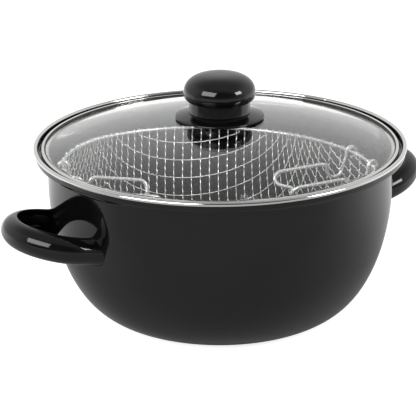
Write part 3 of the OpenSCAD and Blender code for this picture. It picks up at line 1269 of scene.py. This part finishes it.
@dataclass
class DrapedCloth:
    """Wire cloth pressed into a bowl: the wires keep their length and only shear.

    The cloth's two wire directions cross at right angles on the floor. Up the wall each knot
    stays one pitch from its two neighbours, so the cells close towards the diagonals.
    """

    bowl: BowlSurface
    warp_pitch: float = 7.6 * MM
    weft_pitch: float = 14.9 * MM
    warp_steps: int = 12
    weft_steps: int = 20
    net_reach: float = 205.0 * MM
    newton_steps: int = 8
    steadying: float = 1e-9

    def quarter(self) -> np.ndarray:
        """Knots of a fine net on one quarter of the bowl, found from the two axes outwards.

        Returns:
            Points by step along the first and the second direction.
        """
        du, dv = self.warp_pitch / self.warp_steps, self.weft_pitch / self.weft_steps
        n, m = int(self.net_reach / du), int(self.net_reach / dv)
        net = np.zeros((n + 1, m + 1, 3))
        first = self.bowl.meridian(np.arange(n + 1) * du)
        second = self.bowl.meridian(np.arange(m + 1) * dv)
        net[:, 0, 0], net[:, 0, 2] = first[:, 0], first[:, 1]
        net[0, :, 1], net[0, :, 2] = second[:, 0], second[:, 1]
        for total in range(2, n + m + 1):
            i = np.arange(max(1, total - m), min(n, total - 1) + 1)
            j = total - i
            net[i, j] = self._next_knots(net[i - 1, j], net[i, j - 1], net[i - 1, j - 1], du, dv)
        return net

    def _next_knots(self, a: Points, b: Points, corner: Points, du: float, dv: float) -> Points:
        """Find points on the bowl at the right distances from two rows of neighbours.

        Args:
            a: Neighbours one step back along the first direction.
            b: Neighbours one step back along the second direction.
            corner: Points one step back along both.
            du: Step along the first direction.
            dv: Step along the second direction.

        Returns:
            The points.
        """
        spot = a + b - corner
        for _ in range(self.newton_steps):
            value, slope = self.bowl.offset(spot)
            to_a, to_b = spot - a, spot - b
            misses = np.stack([(to_a ** 2).sum(-1) - du * du, (to_b ** 2).sum(-1) - dv * dv, value], -1)
            slopes = np.stack([2 * to_a, 2 * to_b, slope], -2) + self.steadying * np.eye(3)
            step = np.linalg.solve(slopes, misses[..., None])[..., 0]
            size = np.linalg.norm(step, axis=-1, keepdims=True)
            spot = spot - step * np.minimum(1.0, du / np.maximum(size, TINY))
        return spot

    def chains(
        self, top_z: float, hook: Callable[[np.ndarray], np.ndarray],
    ) -> tuple[list[WireChain], list[WireChain]]:
        """Centre lines of the two families of wires, up to the ring and hooked over it.

        Args:
            top_z: Height at which a wire leaves the cloth for its hook.
            hook: Gives the hook's points for a wire that ends at a point.

        Returns:
            The wires along the second direction, and those along the first.
        """
        net = self.quarter()
        warp = WireFamily(
            travel=1, pitch=self.warp_steps, cell=self.weft_steps, waves=5, centred=False
        )
        weft = WireFamily(
            travel=0, pitch=self.weft_steps, cell=self.warp_steps, waves=3, centred=True
        )
        return (
            self._family(net, warp, top_z, hook),
            self._family(net.transpose(1, 0, 2), weft, top_z, hook),
        )

    def _family(
        self, net: np.ndarray, family: WireFamily, top_z: float,
        hook: Callable[[np.ndarray], np.ndarray],
    ) -> list[WireChain]:
        """Wires of one family, mirrored from one quarter onto the whole bowl.

        Args:
            net: The quarter's knots, with the wires along its rows.
            family: How the wires lie.
            top_z: Height at which a wire leaves the cloth.
            hook: Gives the hook's points.

        Returns:
            One chain for each wire.
        """
        wires = []
        first = 0 if family.centred else family.pitch // 2
        for row, start in enumerate(range(first, net.shape[0], family.pitch)):
            line = net[start]
            above = np.nonzero(line[:, 2] > top_z)[0]
            if line[0, 2] > top_z or len(above) == 0:
                break
            line = line[: above[0] + 1]
            sign = 1.0 if row % 2 == 0 else -1.0
            wires.append(self._whole_wire(line, family, 1.0, sign, hook))
            if start > 0:
                other = sign if family.centred else -sign
                wires.append(self._whole_wire(line, family, -1.0, other, hook))
        return wires

    def _whole_wire(
        self, line: np.ndarray, family: WireFamily, mirror: float, sign: float,
        hook: Callable[[np.ndarray], np.ndarray],
    ) -> WireChain:
        """One wire from ring to ring, out of the half that one quarter gives.

        Args:
            line: Knots from the bowl's centre line to the ring.
            family: The family that the wire belongs to.
            mirror: -1 for a wire on the other side of the bowl.
            sign: Side of the cloth on which the first crimp lies.
            hook: Gives the hook's points.

        Returns:
            The wire's centre line with its crimps.
        """
        near = line.copy()
        near[:, 1 - family.travel] *= mirror
        far = near[:0:-1].copy()
        far[:, family.travel] *= -1.0
        points = np.concatenate([far, near])
        steps = np.arange(len(points)) - len(far)
        _, slope = self.bowl.offset(points)
        out = slope / np.linalg.norm(slope, axis=-1, keepdims=True)
        head, tail = hook(points[0])[::-1], hook(points[-1])
        return WireChain(
            np.concatenate([head, points, tail]),
            np.concatenate([np.zeros_like(head), out, np.zeros_like(tail)]),
            np.concatenate([np.zeros(len(head)), sign * family.crimps(steps), np.zeros(len(tail))]),
        )


@dataclass
class WireBasket:
    """The frying basket: draped wire cloth, the ring at its mouth and two folding handles.

    The basket's own frame has the ring's centre as origin. It leans a little in the pot.
    """

    bench: MeshBench
    mill: WireMill
    weave_turn: float = math.radians(-17.0)
    grip_turn: float = math.radians(-12.0)
    lean: float = math.radians(3.3)
    high_side: float = math.radians(-167.5)
    cloth_wire_r: float = 0.5 * MM
    ring_wire_r: float = 1.25 * MM
    grip_wire_r: float = 1.4 * MM
    ring_r: float = 118.0 * MM
    floor_r: float = 69.0 * MM
    floor_depth: float = 100.5 * MM
    corner_h: float = 79.5 * MM
    eye_gap: float = 43.0 * MM
    eye_play: float = 1.4 * MM
    notch_play: float = 1.2 * MM
    wall_inset: float = 1.0 * MM
    wall_flare: float = 0.5 * MM
    hook_drop: float = 1.6 * MM
    wire_sides: int = 16
    cloth_sides: int = 6
    hook_x: float = -14.7 * MM
    hook_z: float = -11.6 * MM
    hook_r: float = 6.5 * MM
    rise_r: float = 5.0 * MM
    grip_z: float = -6.2 * MM
    grip_reach: float = 66.0 * MM
    grip_slope: float = math.radians(6.6)
    end_r: float = 6.0 * MM
    end_dip: float = 5.9 * MM
    end_waist: float = 2.0 * MM
    end_swing: float = 1.1 * MM
    end_drop: float = 1.5 * MM
    curl_steps: int = 26
    corner_steps: int = 6
    end_steps: int = 10
    ring_z: float = field(default_factory=lambda: sum(corner.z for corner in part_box("basket_ring")) / 2)

    def build(self) -> None:
        """Build the cloth, the ring and both handles."""
        self.build_cloth()
        ring = self._placed(self._circle(self.ring_r, 240), 0.0)
        ticket = self._ticket("basket_ring_wire", Body.BASKET, "basket_ring")
        self.mill.draw(ticket, [WireChain(ring, closed=True)], self.ring_wire_r, self.wire_sides)
        grip = self.grip_route() + np.array((self._chord_x(), 0.0, 0.0))
        for name, node, body, turn in (
            ("left_basket_grip", "left_basket_handle", Body.LEFT_GRIP, math.pi),
            ("right_basket_grip", "right_basket_handle", Body.RIGHT_GRIP, 0.0),
        ):
            route = self._placed(grip, self.grip_turn + turn)
            ticket = self._ticket(name, body, node)
            self.mill.draw(ticket, [WireChain(route)], self.grip_wire_r, self.wire_sides)

    def build_cloth(self) -> None:
        """Build the two families of wires of the cloth."""
        wall_r = self.ring_r - self.wall_inset
        corner_r = wall_r - self.floor_r - self.wall_flare
        bowl = BowlSurface(self.floor_r, -self.floor_depth, corner_r, self.corner_h, wall_r, 0.0)
        top_z = -self.ring_wire_r - self.hook_drop
        warps, wefts = DrapedCloth(bowl).chains(top_z, self._ring_hook)
        for chain in warps + wefts:
            self._clear_eyes(chain)
            chain.points = self._placed(chain.points, self.weave_turn)
            chain.out = self._leaned(chain.out, self.weave_turn)
        for chains, ticket in (
            (warps, self._ticket("cloth_warp", Body.BASKET, "basket_mesh")),
            (wefts, self._ticket("cloth_weft", Body.BASKET)),
        ):
            self.mill.draw(ticket, chains, self.cloth_wire_r, self.cloth_sides, self.cloth_wire_r)

    @staticmethod
    def _ticket(name: str, body: Body, *replaces: str) -> Ticket:
        """Name a piece of wire, its body and the CAD nodes it stands for."""
        return Ticket(name, Slot.WIRE, body, replaces, WIRE_SHARP_ANGLE)

    def _clear_eyes(self, chain: WireChain) -> None:
        """Leave out the part of a cloth wire where the handles' eyes swing round the ring.

        Args:
            chain: The wire, in the cloth's own directions.
        """
        turn = self.grip_turn - self.weave_turn
        x, y, z = chain.points.T
        along = x * math.cos(turn) + y * math.sin(turn)
        aside = np.abs(y * math.cos(turn) - x * math.sin(turn)) - self.eye_gap / 2
        reach = self.ring_wire_r + self.eye_play + 2 * self.grip_wire_r + self.notch_play
        swept = (np.abs(aside) < self.grip_wire_r + self.notch_play + self.cloth_wire_r) & (z > -reach)
        kept = np.nonzero(~(swept & (np.abs(along) > self._chord_x() - 2 * reach)))[0]
        runs = np.split(kept, np.nonzero(np.diff(kept) > 1)[0] + 1)
        part = max(runs, key=len)
        chain.points, chain.out, chain.wave = chain.points[part], chain.out[part], chain.wave[part]

    def grip_route(self) -> np.ndarray:
        """Centre line of one folded handle, from eye to eye.

        X points outwards, Y runs along the chord through the eyes, Z is up, and the origin is
        the middle of that chord.

        Returns:
            One row per point.
        """
        half = self.eye_gap / 2
        eye_r = self.ring_wire_r + self.eye_play + self.grip_wire_r
        curl = arc((0.0, 0.0), (eye_r, eye_r), -100, 180, self.curl_steps)
        slide = self.grip_wire_r * 0.7
        side = [(x, half - slide * (1.0 - k / self.curl_steps), z) for k, (x, z) in enumerate(curl)]
        rise_x = self.hook_x - self.hook_r - self.rise_r
        leg = [(-eye_r - 0.3 * MM, -2.5 * MM), (-eye_r - 1.6 * MM, self.hook_z * 0.5)]
        leg += arc((self.hook_x, self.hook_z), (self.hook_r, self.hook_r), 0, -180, 24)
        leg += arc((rise_x, self.grip_z - self.rise_r), (self.rise_r, self.rise_r), 15, 90, 8)
        side += [(x, half, z) for x, z in leg]
        bend_x, bend_z = self.end_r - self.grip_reach, self.grip_z - self.end_r
        side += [
            (x, half - self.end_r * (x - bend_x) ** 2 / self.end_r ** 2 / 3, z)
            for x, z in arc((bend_x, bend_z), (self.end_r, self.end_r), 90, 170, 10)
        ]
        for k in range(1, self.corner_steps + 1):
            bend = math.pi * k / (2 * self.corner_steps)
            side.append((
                self.end_swing * k / self.corner_steps - self.grip_reach,
                half - self.end_waist - 0.8 * self.end_r * math.sin(bend),
                bend_z - self.end_drop * (1.0 - math.cos(bend)),
            ))
        corner_x, corner_y, corner_z = side[-1]
        for k in range(1, self.end_steps + 1):
            dip = self.end_dip * (1.0 - math.cos(math.pi * k / self.end_steps)) / 2
            side.append((corner_x + dip, corner_y * (1.0 - k / self.end_steps), corner_z))
        points = np.array(side)
        c, s = math.cos(self.grip_slope), math.sin(self.grip_slope)
        points = points @ np.array(((c, 0.0, s), (0.0, 1.0, 0.0), (-s, 0.0, c)))
        other = points[:-1][::-1] * np.array((1.0, -1.0, 1.0))
        return np.concatenate([points, other])

    def _chord_x(self) -> float:
        """Distance from the axis to the chord through a handle's two eyes."""
        return math.sqrt(self.ring_r ** 2 - (self.eye_gap / 2) ** 2)

    def _ring_hook(self, end: np.ndarray) -> np.ndarray:
        """Points of a cloth wire's end, bent up inside the ring, over it and down outside.

        Args:
            end: Last point of the wire in the cloth.

        Returns:
            The hook's points.
        """
        angle = math.atan2(end[1], end[0])
        wrap = self.ring_wire_r + self.cloth_wire_r
        bend = arc((self.ring_r, 0.0), (wrap, wrap), 200, -75, 12)
        return np.array([(r * math.cos(angle), r * math.sin(angle), z) for r, z in bend])

    def _leaned(self, vectors: Points, turn: float) -> Points:
        """Turn vectors about the basket's axis, then lean them with the basket.

        Args:
            vectors: One row per vector.
            turn: Angle about the basket's axis.

        Returns:
            The turned vectors.
        """
        axis = Vector((math.sin(self.high_side), -math.cos(self.high_side), 0.0))
        spin = Matrix.Rotation(self.lean, 3, axis) @ Matrix.Rotation(turn, 3, "Z")
        return vectors @ np.array(spin).T

    def _placed(self, points: Points, turn: float) -> Points:
        """Bring points from the basket's own frame, turned about its axis, into the pot."""
        return self._leaned(points, turn) + np.array((0.0, 0.0, self.ring_z))

    @staticmethod
    def _circle(radius: float, count: int) -> np.ndarray:
        """Points round a level circle."""
        a = np.linspace(0.0, FULL_TURN, count, endpoint=False)
        return np.stack([radius * np.cos(a), radius * np.sin(a), np.zeros(count)], -1)


# ----------------------------------------------------------------------------------------------
# Lid
# ----------------------------------------------------------------------------------------------


@dataclass
class GlassLid:
    """The domed glass, its steel band and the seal between them."""

    bench: MeshBench
    glass_t: float = 3.5 * MM
    dome_rise: float = 22.0 * MM
    band_t: float = 0.7 * MM
    seal_t: float = 0.5 * MM
    slip: float = 0.1 * MM
    hole_r: float = 4.0 * MM
    land: float = 3.3 * MM
    skirt_h: float = 6.0 * MM
    skirt_r: float = 128.1 * MM
    band_h: float = 5.6 * MM
    lid_r: float = field(default_factory=lambda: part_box("lid_band")[1].x)
    band_top: float = field(default_factory=lambda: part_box("lid_band")[1].z)

    @property
    def edge_r(self) -> float:
        """Outer radius of the glass."""
        return self.lid_r - self.band_t - self.seal_t - 2 * self.slip

    @property
    def edge_top(self) -> float:
        """Height of the top of the glass's flat edge."""
        return self.band_top - self.band_t - self.seal_t - 2 * self.slip

    @property
    def crown_z(self) -> float:
        """Height of the top of the dome."""
        return self.edge_top + self.dome_rise

    @property
    def dome_radius(self) -> float:
        """Radius of the dome's outer sphere."""
        return ((self.edge_r - self.land) ** 2 + self.dome_rise ** 2) / (2 * self.dome_rise)

    def build(self) -> None:
        """Build the glass, the band and the seal."""
        self.build_glass()
        self.build_band()
        self.build_seal()

    def build_glass(self) -> None:
        """Build the dome with its ground and polished edge."""
        dome_edge, radius = self.edge_r - self.land, self.dome_radius
        centre = (0.0, self.crown_z - radius)
        inner = radius - self.glass_t
        edge = math.degrees(math.acos(dome_edge / radius))
        hole = math.degrees(math.acos(self.hole_r / radius))
        in_hole = math.degrees(math.acos(self.hole_r / inner))
        mid_z, half = self.edge_top - self.glass_t / 2, self.glass_t / 2
        rim = arc((self.edge_r - half, mid_z), (half, half), -90, 90, 10)
        outline = (
            arc(centre, (inner, inner), in_hole, edge, 72) + rim
            + arc(centre, (radius, radius), edge, hole, 72)
        )
        ticket = Ticket("lid_glass_dome", Slot.LID_GLASS, Body.LID, ("lid_glass",), 60.0)
        self.bench.revolve(ticket, outline, 256)

    def build_band(self) -> None:
        """Build the strip that clips round the glass, with its rolled top and its skirt."""
        t, low = self.band_t, self.band_top - self.band_h
        inner_r = self.edge_r - 1.0 * MM
        corners = [
            (inner_r, self.band_top - t, t * 0.3),
            (self.lid_r - t, self.band_top - t, 0.3 * MM),
            (self.lid_r - t, low + t, 0.3 * MM),
            (self.skirt_r - t, low + t, 0.9 * MM),
            (self.skirt_r - t, low - self.skirt_h, t * 0.4),
            (self.skirt_r, low - self.skirt_h, t * 0.4),
            (self.skirt_r, low, 0.3 * MM),
            (self.lid_r, low, 0.9 * MM),
            (self.lid_r, self.band_top, 1.1 * MM),
            (inner_r, self.band_top, t * 0.3),
        ]
        seam = ButtSeam(math.radians(12.0), math.radians(0.35), 0.02)
        ticket = Ticket("lid_steel_band", Slot.STEEL_BAND, Body.LID, ("lid_band",), 50.0)
        self.bench.revolve(ticket, rounded(corners), 256, seam)

    def build_seal(self) -> None:
        """Build the black strip between glass and band."""
        slip = self.slip
        top = self.band_top - self.band_t - slip
        out_r = self.lid_r - self.band_t - slip
        in_r = self.edge_r - 2.0 * MM
        foot = self.band_top - self.band_h + self.band_t + slip
        corners = [
            (in_r, self.edge_top + slip, 0.15 * MM),
            (self.edge_r + slip, self.edge_top + slip, 0.1 * MM),
            (self.edge_r + slip, foot, 0.1 * MM),
            (out_r, foot, 0.1 * MM),
            (out_r, top, 0.15 * MM),
            (in_r, top, 0.2 * MM),
        ]
        self.bench.revolve(Ticket("lid_edge_seal", Slot.SEAL, Body.LID, ("lid_seal",)), rounded(corners, 3))


@dataclass
class LidKnob:
    """The mushroom knob, its disc, and the small pieces that fix it through the glass."""

    bench: MeshBench
    lid: GlassLid
    knob_r: float = 27.0 * MM
    neck_r: float = 22.4 * MM
    foot_r: float = 23.5 * MM
    neck_h: float = 8.6 * MM
    wide_h: float = 14.6 * MM
    screw_hole_r: float = 2.7 * MM
    insert_r: float = 4.1 * MM
    insert_l: float = 12.0 * MM
    disc_gap: float = 0.35 * MM
    disc_edge_r: float = 0.9 * MM
    recess_r: float = 11.3 * MM
    recess_h: float = 1.1 * MM
    boss_r: float = 7.5 * MM
    cavity_r: float = 17.0 * MM
    cavity_h: float = 12.0 * MM
    cap_step: float = 0.4 * MM
    side_power: float = 0.72
    crown_power: float = 0.88
    cap_steps: int = 40
    disc_r: float = field(default_factory=lambda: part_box("knob_disc")[1].x)
    base_z: float = field(default_factory=lambda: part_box("knob_head")[0].z)
    top_z: float = field(default_factory=lambda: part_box("knob_head")[1].z)

    def build(self) -> None:
        """Build the knob and its disc, and dress the CAD pieces of the fixing."""
        self.build_head()
        self.build_disc()
        for node, slot in (
            ("knob_insert", Slot.INSERT), ("upper_gasket", Slot.GASKET), ("lower_gasket", Slot.GASKET),
            ("knob_washer", Slot.SCREW_STEEL), ("knob_screw", Slot.SCREW_STEEL),
        ):
            self._dress_cad(node, slot)

    def _dress_cad(self, node: str, slot: Slot) -> None:
        """Give a carried-over CAD piece its finish.

        Args:
            node: Name of the CAD node.
            slot: The record's slot that the finish comes from.
        """
        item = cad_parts[node]
        item.data.materials.clear()
        item.data.materials.append(self.bench.finishes.pick(slot))
        LOG.info("%s: CAD piece, finished as %s", node, slot.value)

    def build_head(self) -> None:
        """Build the moulded knob: waisted neck, the cap's rounded underside, and the flattened crown."""
        base, wide = self.base_z, self.base_z + self.wide_h
        crown = self.top_z - wide
        lip_z = base + self.neck_h
        step = self.cap_step
        waist = [(self.neck_r + 0.15 * MM, lip_z - 3 * step), (self.neck_r, lip_z - step)]
        lip = (self.knob_r - self.neck_r - step, wide - lip_z)
        under = arc((self.neck_r + step, wide), lip, -84, 0, 22)
        angles = [math.pi / 2 * k / self.cap_steps for k in range(1, self.cap_steps)]
        cap = [
            (
                self.knob_r * math.cos(a) ** self.side_power,
                wide + crown * math.sin(a) ** self.crown_power,
            )
            for a in angles
        ]
        top, ceiling = base + self.insert_l, base + self.cavity_h
        hollow = [
            (0.0, top), (self.insert_r, top), (self.insert_r, base), (self.boss_r, base),
            (self.boss_r, ceiling), (self.cavity_r, ceiling), (self.cavity_r, base),
        ]
        foot = [(self.foot_r - step, base), (self.foot_r, base + step)]
        outline = hollow + foot + waist + under + cap + [(0.0, self.top_z)]
        ticket = Ticket("knob_cap_and_neck", Slot.KNOB, Body.LID, ("knob_head",), 45.0)
        self.bench.revolve(ticket, outline, 160)

    def build_disc(self) -> None:
        """Build the disc under the knob, dished underneath to follow the glass."""
        under = self.lid.dome_radius + self.disc_gap
        centre_z = self.lid.crown_z - self.lid.dome_radius
        recess_z = self.lid.crown_z + self.recess_h
        rim_r = self.disc_r - self.disc_edge_r
        rim_z = centre_z + math.sqrt(under ** 2 - self.disc_r ** 2) + self.disc_edge_r
        first, last = (math.degrees(math.acos(r / under)) for r in (self.recess_r, rim_r))
        top = self.base_z - 0.1 * MM
        slope = top - rim_z - self.disc_edge_r
        outline = (
            [(self.screw_hole_r, recess_z), (self.recess_r, recess_z)]
            + arc((0.0, centre_z), (under, under), first, last, 16)
            + arc((rim_r, rim_z), (self.disc_edge_r, self.disc_edge_r), -75, 75, 12)
            + [(rim_r - 4.0 * MM, top - slope * 0.52), (self.foot_r + 1.6 * MM, top - slope * 0.16),
               (self.foot_r + 0.4 * MM, top), (self.screw_hole_r, top)]
        )
        ticket = Ticket("knob_base_disc", Slot.KNOB, Body.LID, ("knob_disc",), 35.0)
        self.bench.revolve(ticket, outline, 160)


# ----------------------------------------------------------------------------------------------
# Studio
# ----------------------------------------------------------------------------------------------


@dataclass(frozen=True)
class SoftBox:
    """A soft box: its place, its width and height, and its power."""

    name: str
    place: tuple[float, float, float]
    size: tuple[float, float]
    power: float
    target_z: float = 0.1

    def hang(self) -> None:
        """Hang the lamp and point it at the object."""
        data = bpy.data.lights.new(self.name, "AREA")
        data.shape = "RECTANGLE"
        data.size, data.size_y = self.size
        data.energy = self.power
        lamp = bpy.data.objects.new(self.name, data)
        lamp.location = self.place
        aim = Vector((0.0, 0.0, self.target_z)) - Vector(self.place)
        lamp.rotation_euler = aim.to_track_quat("-Z", "Y").to_euler()
        bpy.context.scene.collection.objects.link(lamp)


@dataclass
class Studio:
    """Pale floor, soft light and the camera."""

    azimuth: float = math.radians(-30.0)
    elevation: float = 0.31038
    distance: float = 1.2
    aim_z: float = 129.6 * MM
    pan: float = 0.00782
    tilt: float = -0.04259
    roll: float = 0.00808
    lens: float = 137.88
    sensor: float = 36.0
    # The floor's glow is painted light: glow_full to glow_end leave it out in front of the object, and
    # glow_inner to glow_outer leave it out round the base as painted shade.
    floor_half: float = 12.0
    glow_full: float = -0.05
    glow_end: float = 0.20
    glow_inner: float = 0.17
    glow_outer: float = 0.42
    painted_floor_glow: float = 0.84
    front_low: float = 0.30
    front_high: float = 0.06
    top_level: float = 0.42
    back_level: float = 0.88
    horizon: tuple[float, float] = (-0.15, 0.25)
    front_spread: tuple[float, float] = (0.05, 0.75)
    overhead: tuple[float, float] = (0.45, 0.85)

    def build(self) -> None:
        """Build the camera, the floor, the sky and the lamps."""
        self.build_camera()
        self.build_floor()
        self.build_sky()
        self.build_lamps()

    def build_camera(self) -> None:
        """Place the camera on its circle round the object, and point it."""
        out = Vector((math.sin(self.azimuth), -math.cos(self.azimuth), 0.0))
        forward = -out * math.cos(self.elevation) + Vector((0.0, 0.0, -math.sin(self.elevation)))
        right = Vector((math.cos(self.azimuth), math.sin(self.azimuth), 0.0))
        upward = right.cross(forward)
        for axis_index, angle in ((2, self.pan), (0, self.tilt), (1, self.roll)):
            axes = (right, forward, upward)
            spin = Matrix.Rotation(angle, 3, axes[axis_index])
            right, forward, upward = spin @ right, spin @ forward, spin @ upward
        place = Vector((0.0, 0.0, self.aim_z)) + out * (self.distance * math.cos(self.elevation))
        place.z += self.distance * math.sin(self.elevation)
        data = bpy.data.cameras.new("camera")
        data.lens = self.lens
        data.sensor_width = self.sensor
        data.clip_start = 0.01
        data.clip_end = 100.0
        data.dof.use_dof = False
        camera = bpy.data.objects.new("camera", data)
        turn = Matrix((right, upward, -forward)).transposed()
        camera.matrix_world = Matrix.Translation(place) @ turn.to_4x4()
        bpy.context.scene.collection.objects.link(camera)
        bpy.context.scene.camera = camera

    def build_floor(self) -> None:
        """Lay the pale table, which glows as painted light: evenly for the camera, and for other rays only
        behind the object and away from its base, where the missing glow is painted shade.
        """
        half = self.floor_half
        mesh = bpy.data.meshes.new("floor")
        corners = [(-half, -half, 0.0), (half, -half, 0.0), (half, half, 0.0), (-half, half, 0.0)]
        mesh.from_pydata(corners, [], [(0, 1, 2, 3)])
        bench = MaterialBench("pale_floor")
        tone = bench.sheet.noise(bench.place, 3.0, 3.0)
        shade = bench.mix(tone, (0.50, 0.50, 0.50, 1.0), (0.53, 0.53, 0.53, 1.0))
        tint = bench.mix(tone, (0.97, 0.97, 0.97, 1.0), (1.0, 1.0, 1.0, 1.0))
        forward = bench.sheet.add("ShaderNodeVectorMath", operation="DOT_PRODUCT")
        bench.sheet.link(bench.place, forward.inputs[0])
        forward.inputs[1].default_value = (math.sin(self.azimuth), -math.cos(self.azimuth), 0.0)
        # Painted light: apart from the camera's rays, the floor glows only behind the object.
        behind = bench.sheet.remap(forward.outputs["Value"], self.glow_full, self.glow_end, 1.0, 0.0)
        away = bench.sheet.add("ShaderNodeVectorMath", operation="LENGTH")
        bench.sheet.link(bench.place, away.inputs[0])
        # Painted shade: the glow fades out round the base, standing in for the floor's shadow that the pot
        # reflects.
        clear = bench.sheet.remap(away.outputs["Value"], self.glow_inner, self.glow_outer, 0.0, 1.0)
        behind = bench.sheet.math("MULTIPLY", behind, clear)
        path = bench.sheet.add("ShaderNodeLightPath")
        # The camera sees the full glow everywhere, as an evenly bright floor.
        lit = bench.sheet.math("MAXIMUM", behind, path.outputs["Is Camera Ray"])
        painted_glow = bench.sheet.math("MULTIPLY", lit, self.painted_floor_glow)
        bench.drive(Base_Color=shade, Emission_Color=tint, Emission_Strength=painted_glow)
        bench.set(Roughness=0.9, Specular_IOR_Level=0.1)
        mesh.materials.append(bench.material)
        floor = bpy.data.objects.new("floor", mesh)
        bpy.context.scene.collection.objects.link(floor)

    def build_sky(self) -> None:
        """Light the set from behind and from the sides, less from above and from the front."""
        world = bpy.data.worlds.new("studio")
        bpy.context.scene.world = world
        world.use_nodes = True
        sheet = NodeSheet(world.node_tree)
        background = next(n for n in world.node_tree.nodes if n.type == "BACKGROUND")
        direction = sheet.add("ShaderNodeTexCoord").outputs["Generated"]
        parts = sheet.add("ShaderNodeSeparateXYZ")
        sheet.link(direction, parts.inputs["Vector"])
        toward = sheet.add("ShaderNodeVectorMath", operation="DOT_PRODUCT")
        sheet.link(direction, toward.inputs[0])
        toward.inputs[1].default_value = (math.sin(self.azimuth), -math.cos(self.azimuth), 0.0)
        front = sheet.remap(parts.outputs["Z"], *self.horizon, self.front_low, self.front_high)
        share = sheet.remap(toward.outputs["Value"], *self.front_spread, 0.0, 1.0)
        loss = sheet.math("MULTIPLY", share, sheet.math("SUBTRACT", self.back_level, front))
        side = sheet.math("SUBTRACT", self.back_level, loss)
        above = sheet.remap(parts.outputs["Z"], *self.overhead, 1.0, self.top_level)
        level = sheet.math("MINIMUM", side, above)
        path = sheet.add("ShaderNodeLightPath")
        seen = sheet.math("MAXIMUM", level, path.outputs["Is Camera Ray"])
        sheet.link(seen, background.inputs["Strength"])
        background.inputs["Color"].default_value = (1.0, 1.0, 1.0, 1.0)

    def build_lamps(self) -> None:
        """Hang two soft boxes in front, one large at the left and one small at the right."""
        SoftBox("left_softbox", (-1.80, -0.72, 1.30), (1.75, 1.20), 46.0).hang()
        SoftBox("right_softbox", (1.09, -1.47, 1.02), (0.72, 0.62), 19.0).hang()
        bpy.context.scene.view_settings.view_transform = "Standard"


def main() -> None:
    """Build every sub-assembly in order and report it.
    """
    logging.basicConfig(level=logging.INFO, format="%(name)s: %(message)s")
    Studio().build()
    bench = MeshBench(FinishShelf())
    mill = WireMill(bench)
    lid = GlassLid(bench)
    for part in (EnamelPot(bench), WireBasket(bench, mill), lid, LidKnob(bench, lid)):
        LOG.info("building %s", type(part).__name__)
        part.build()


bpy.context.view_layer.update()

if __name__ == "__main__":
    main()
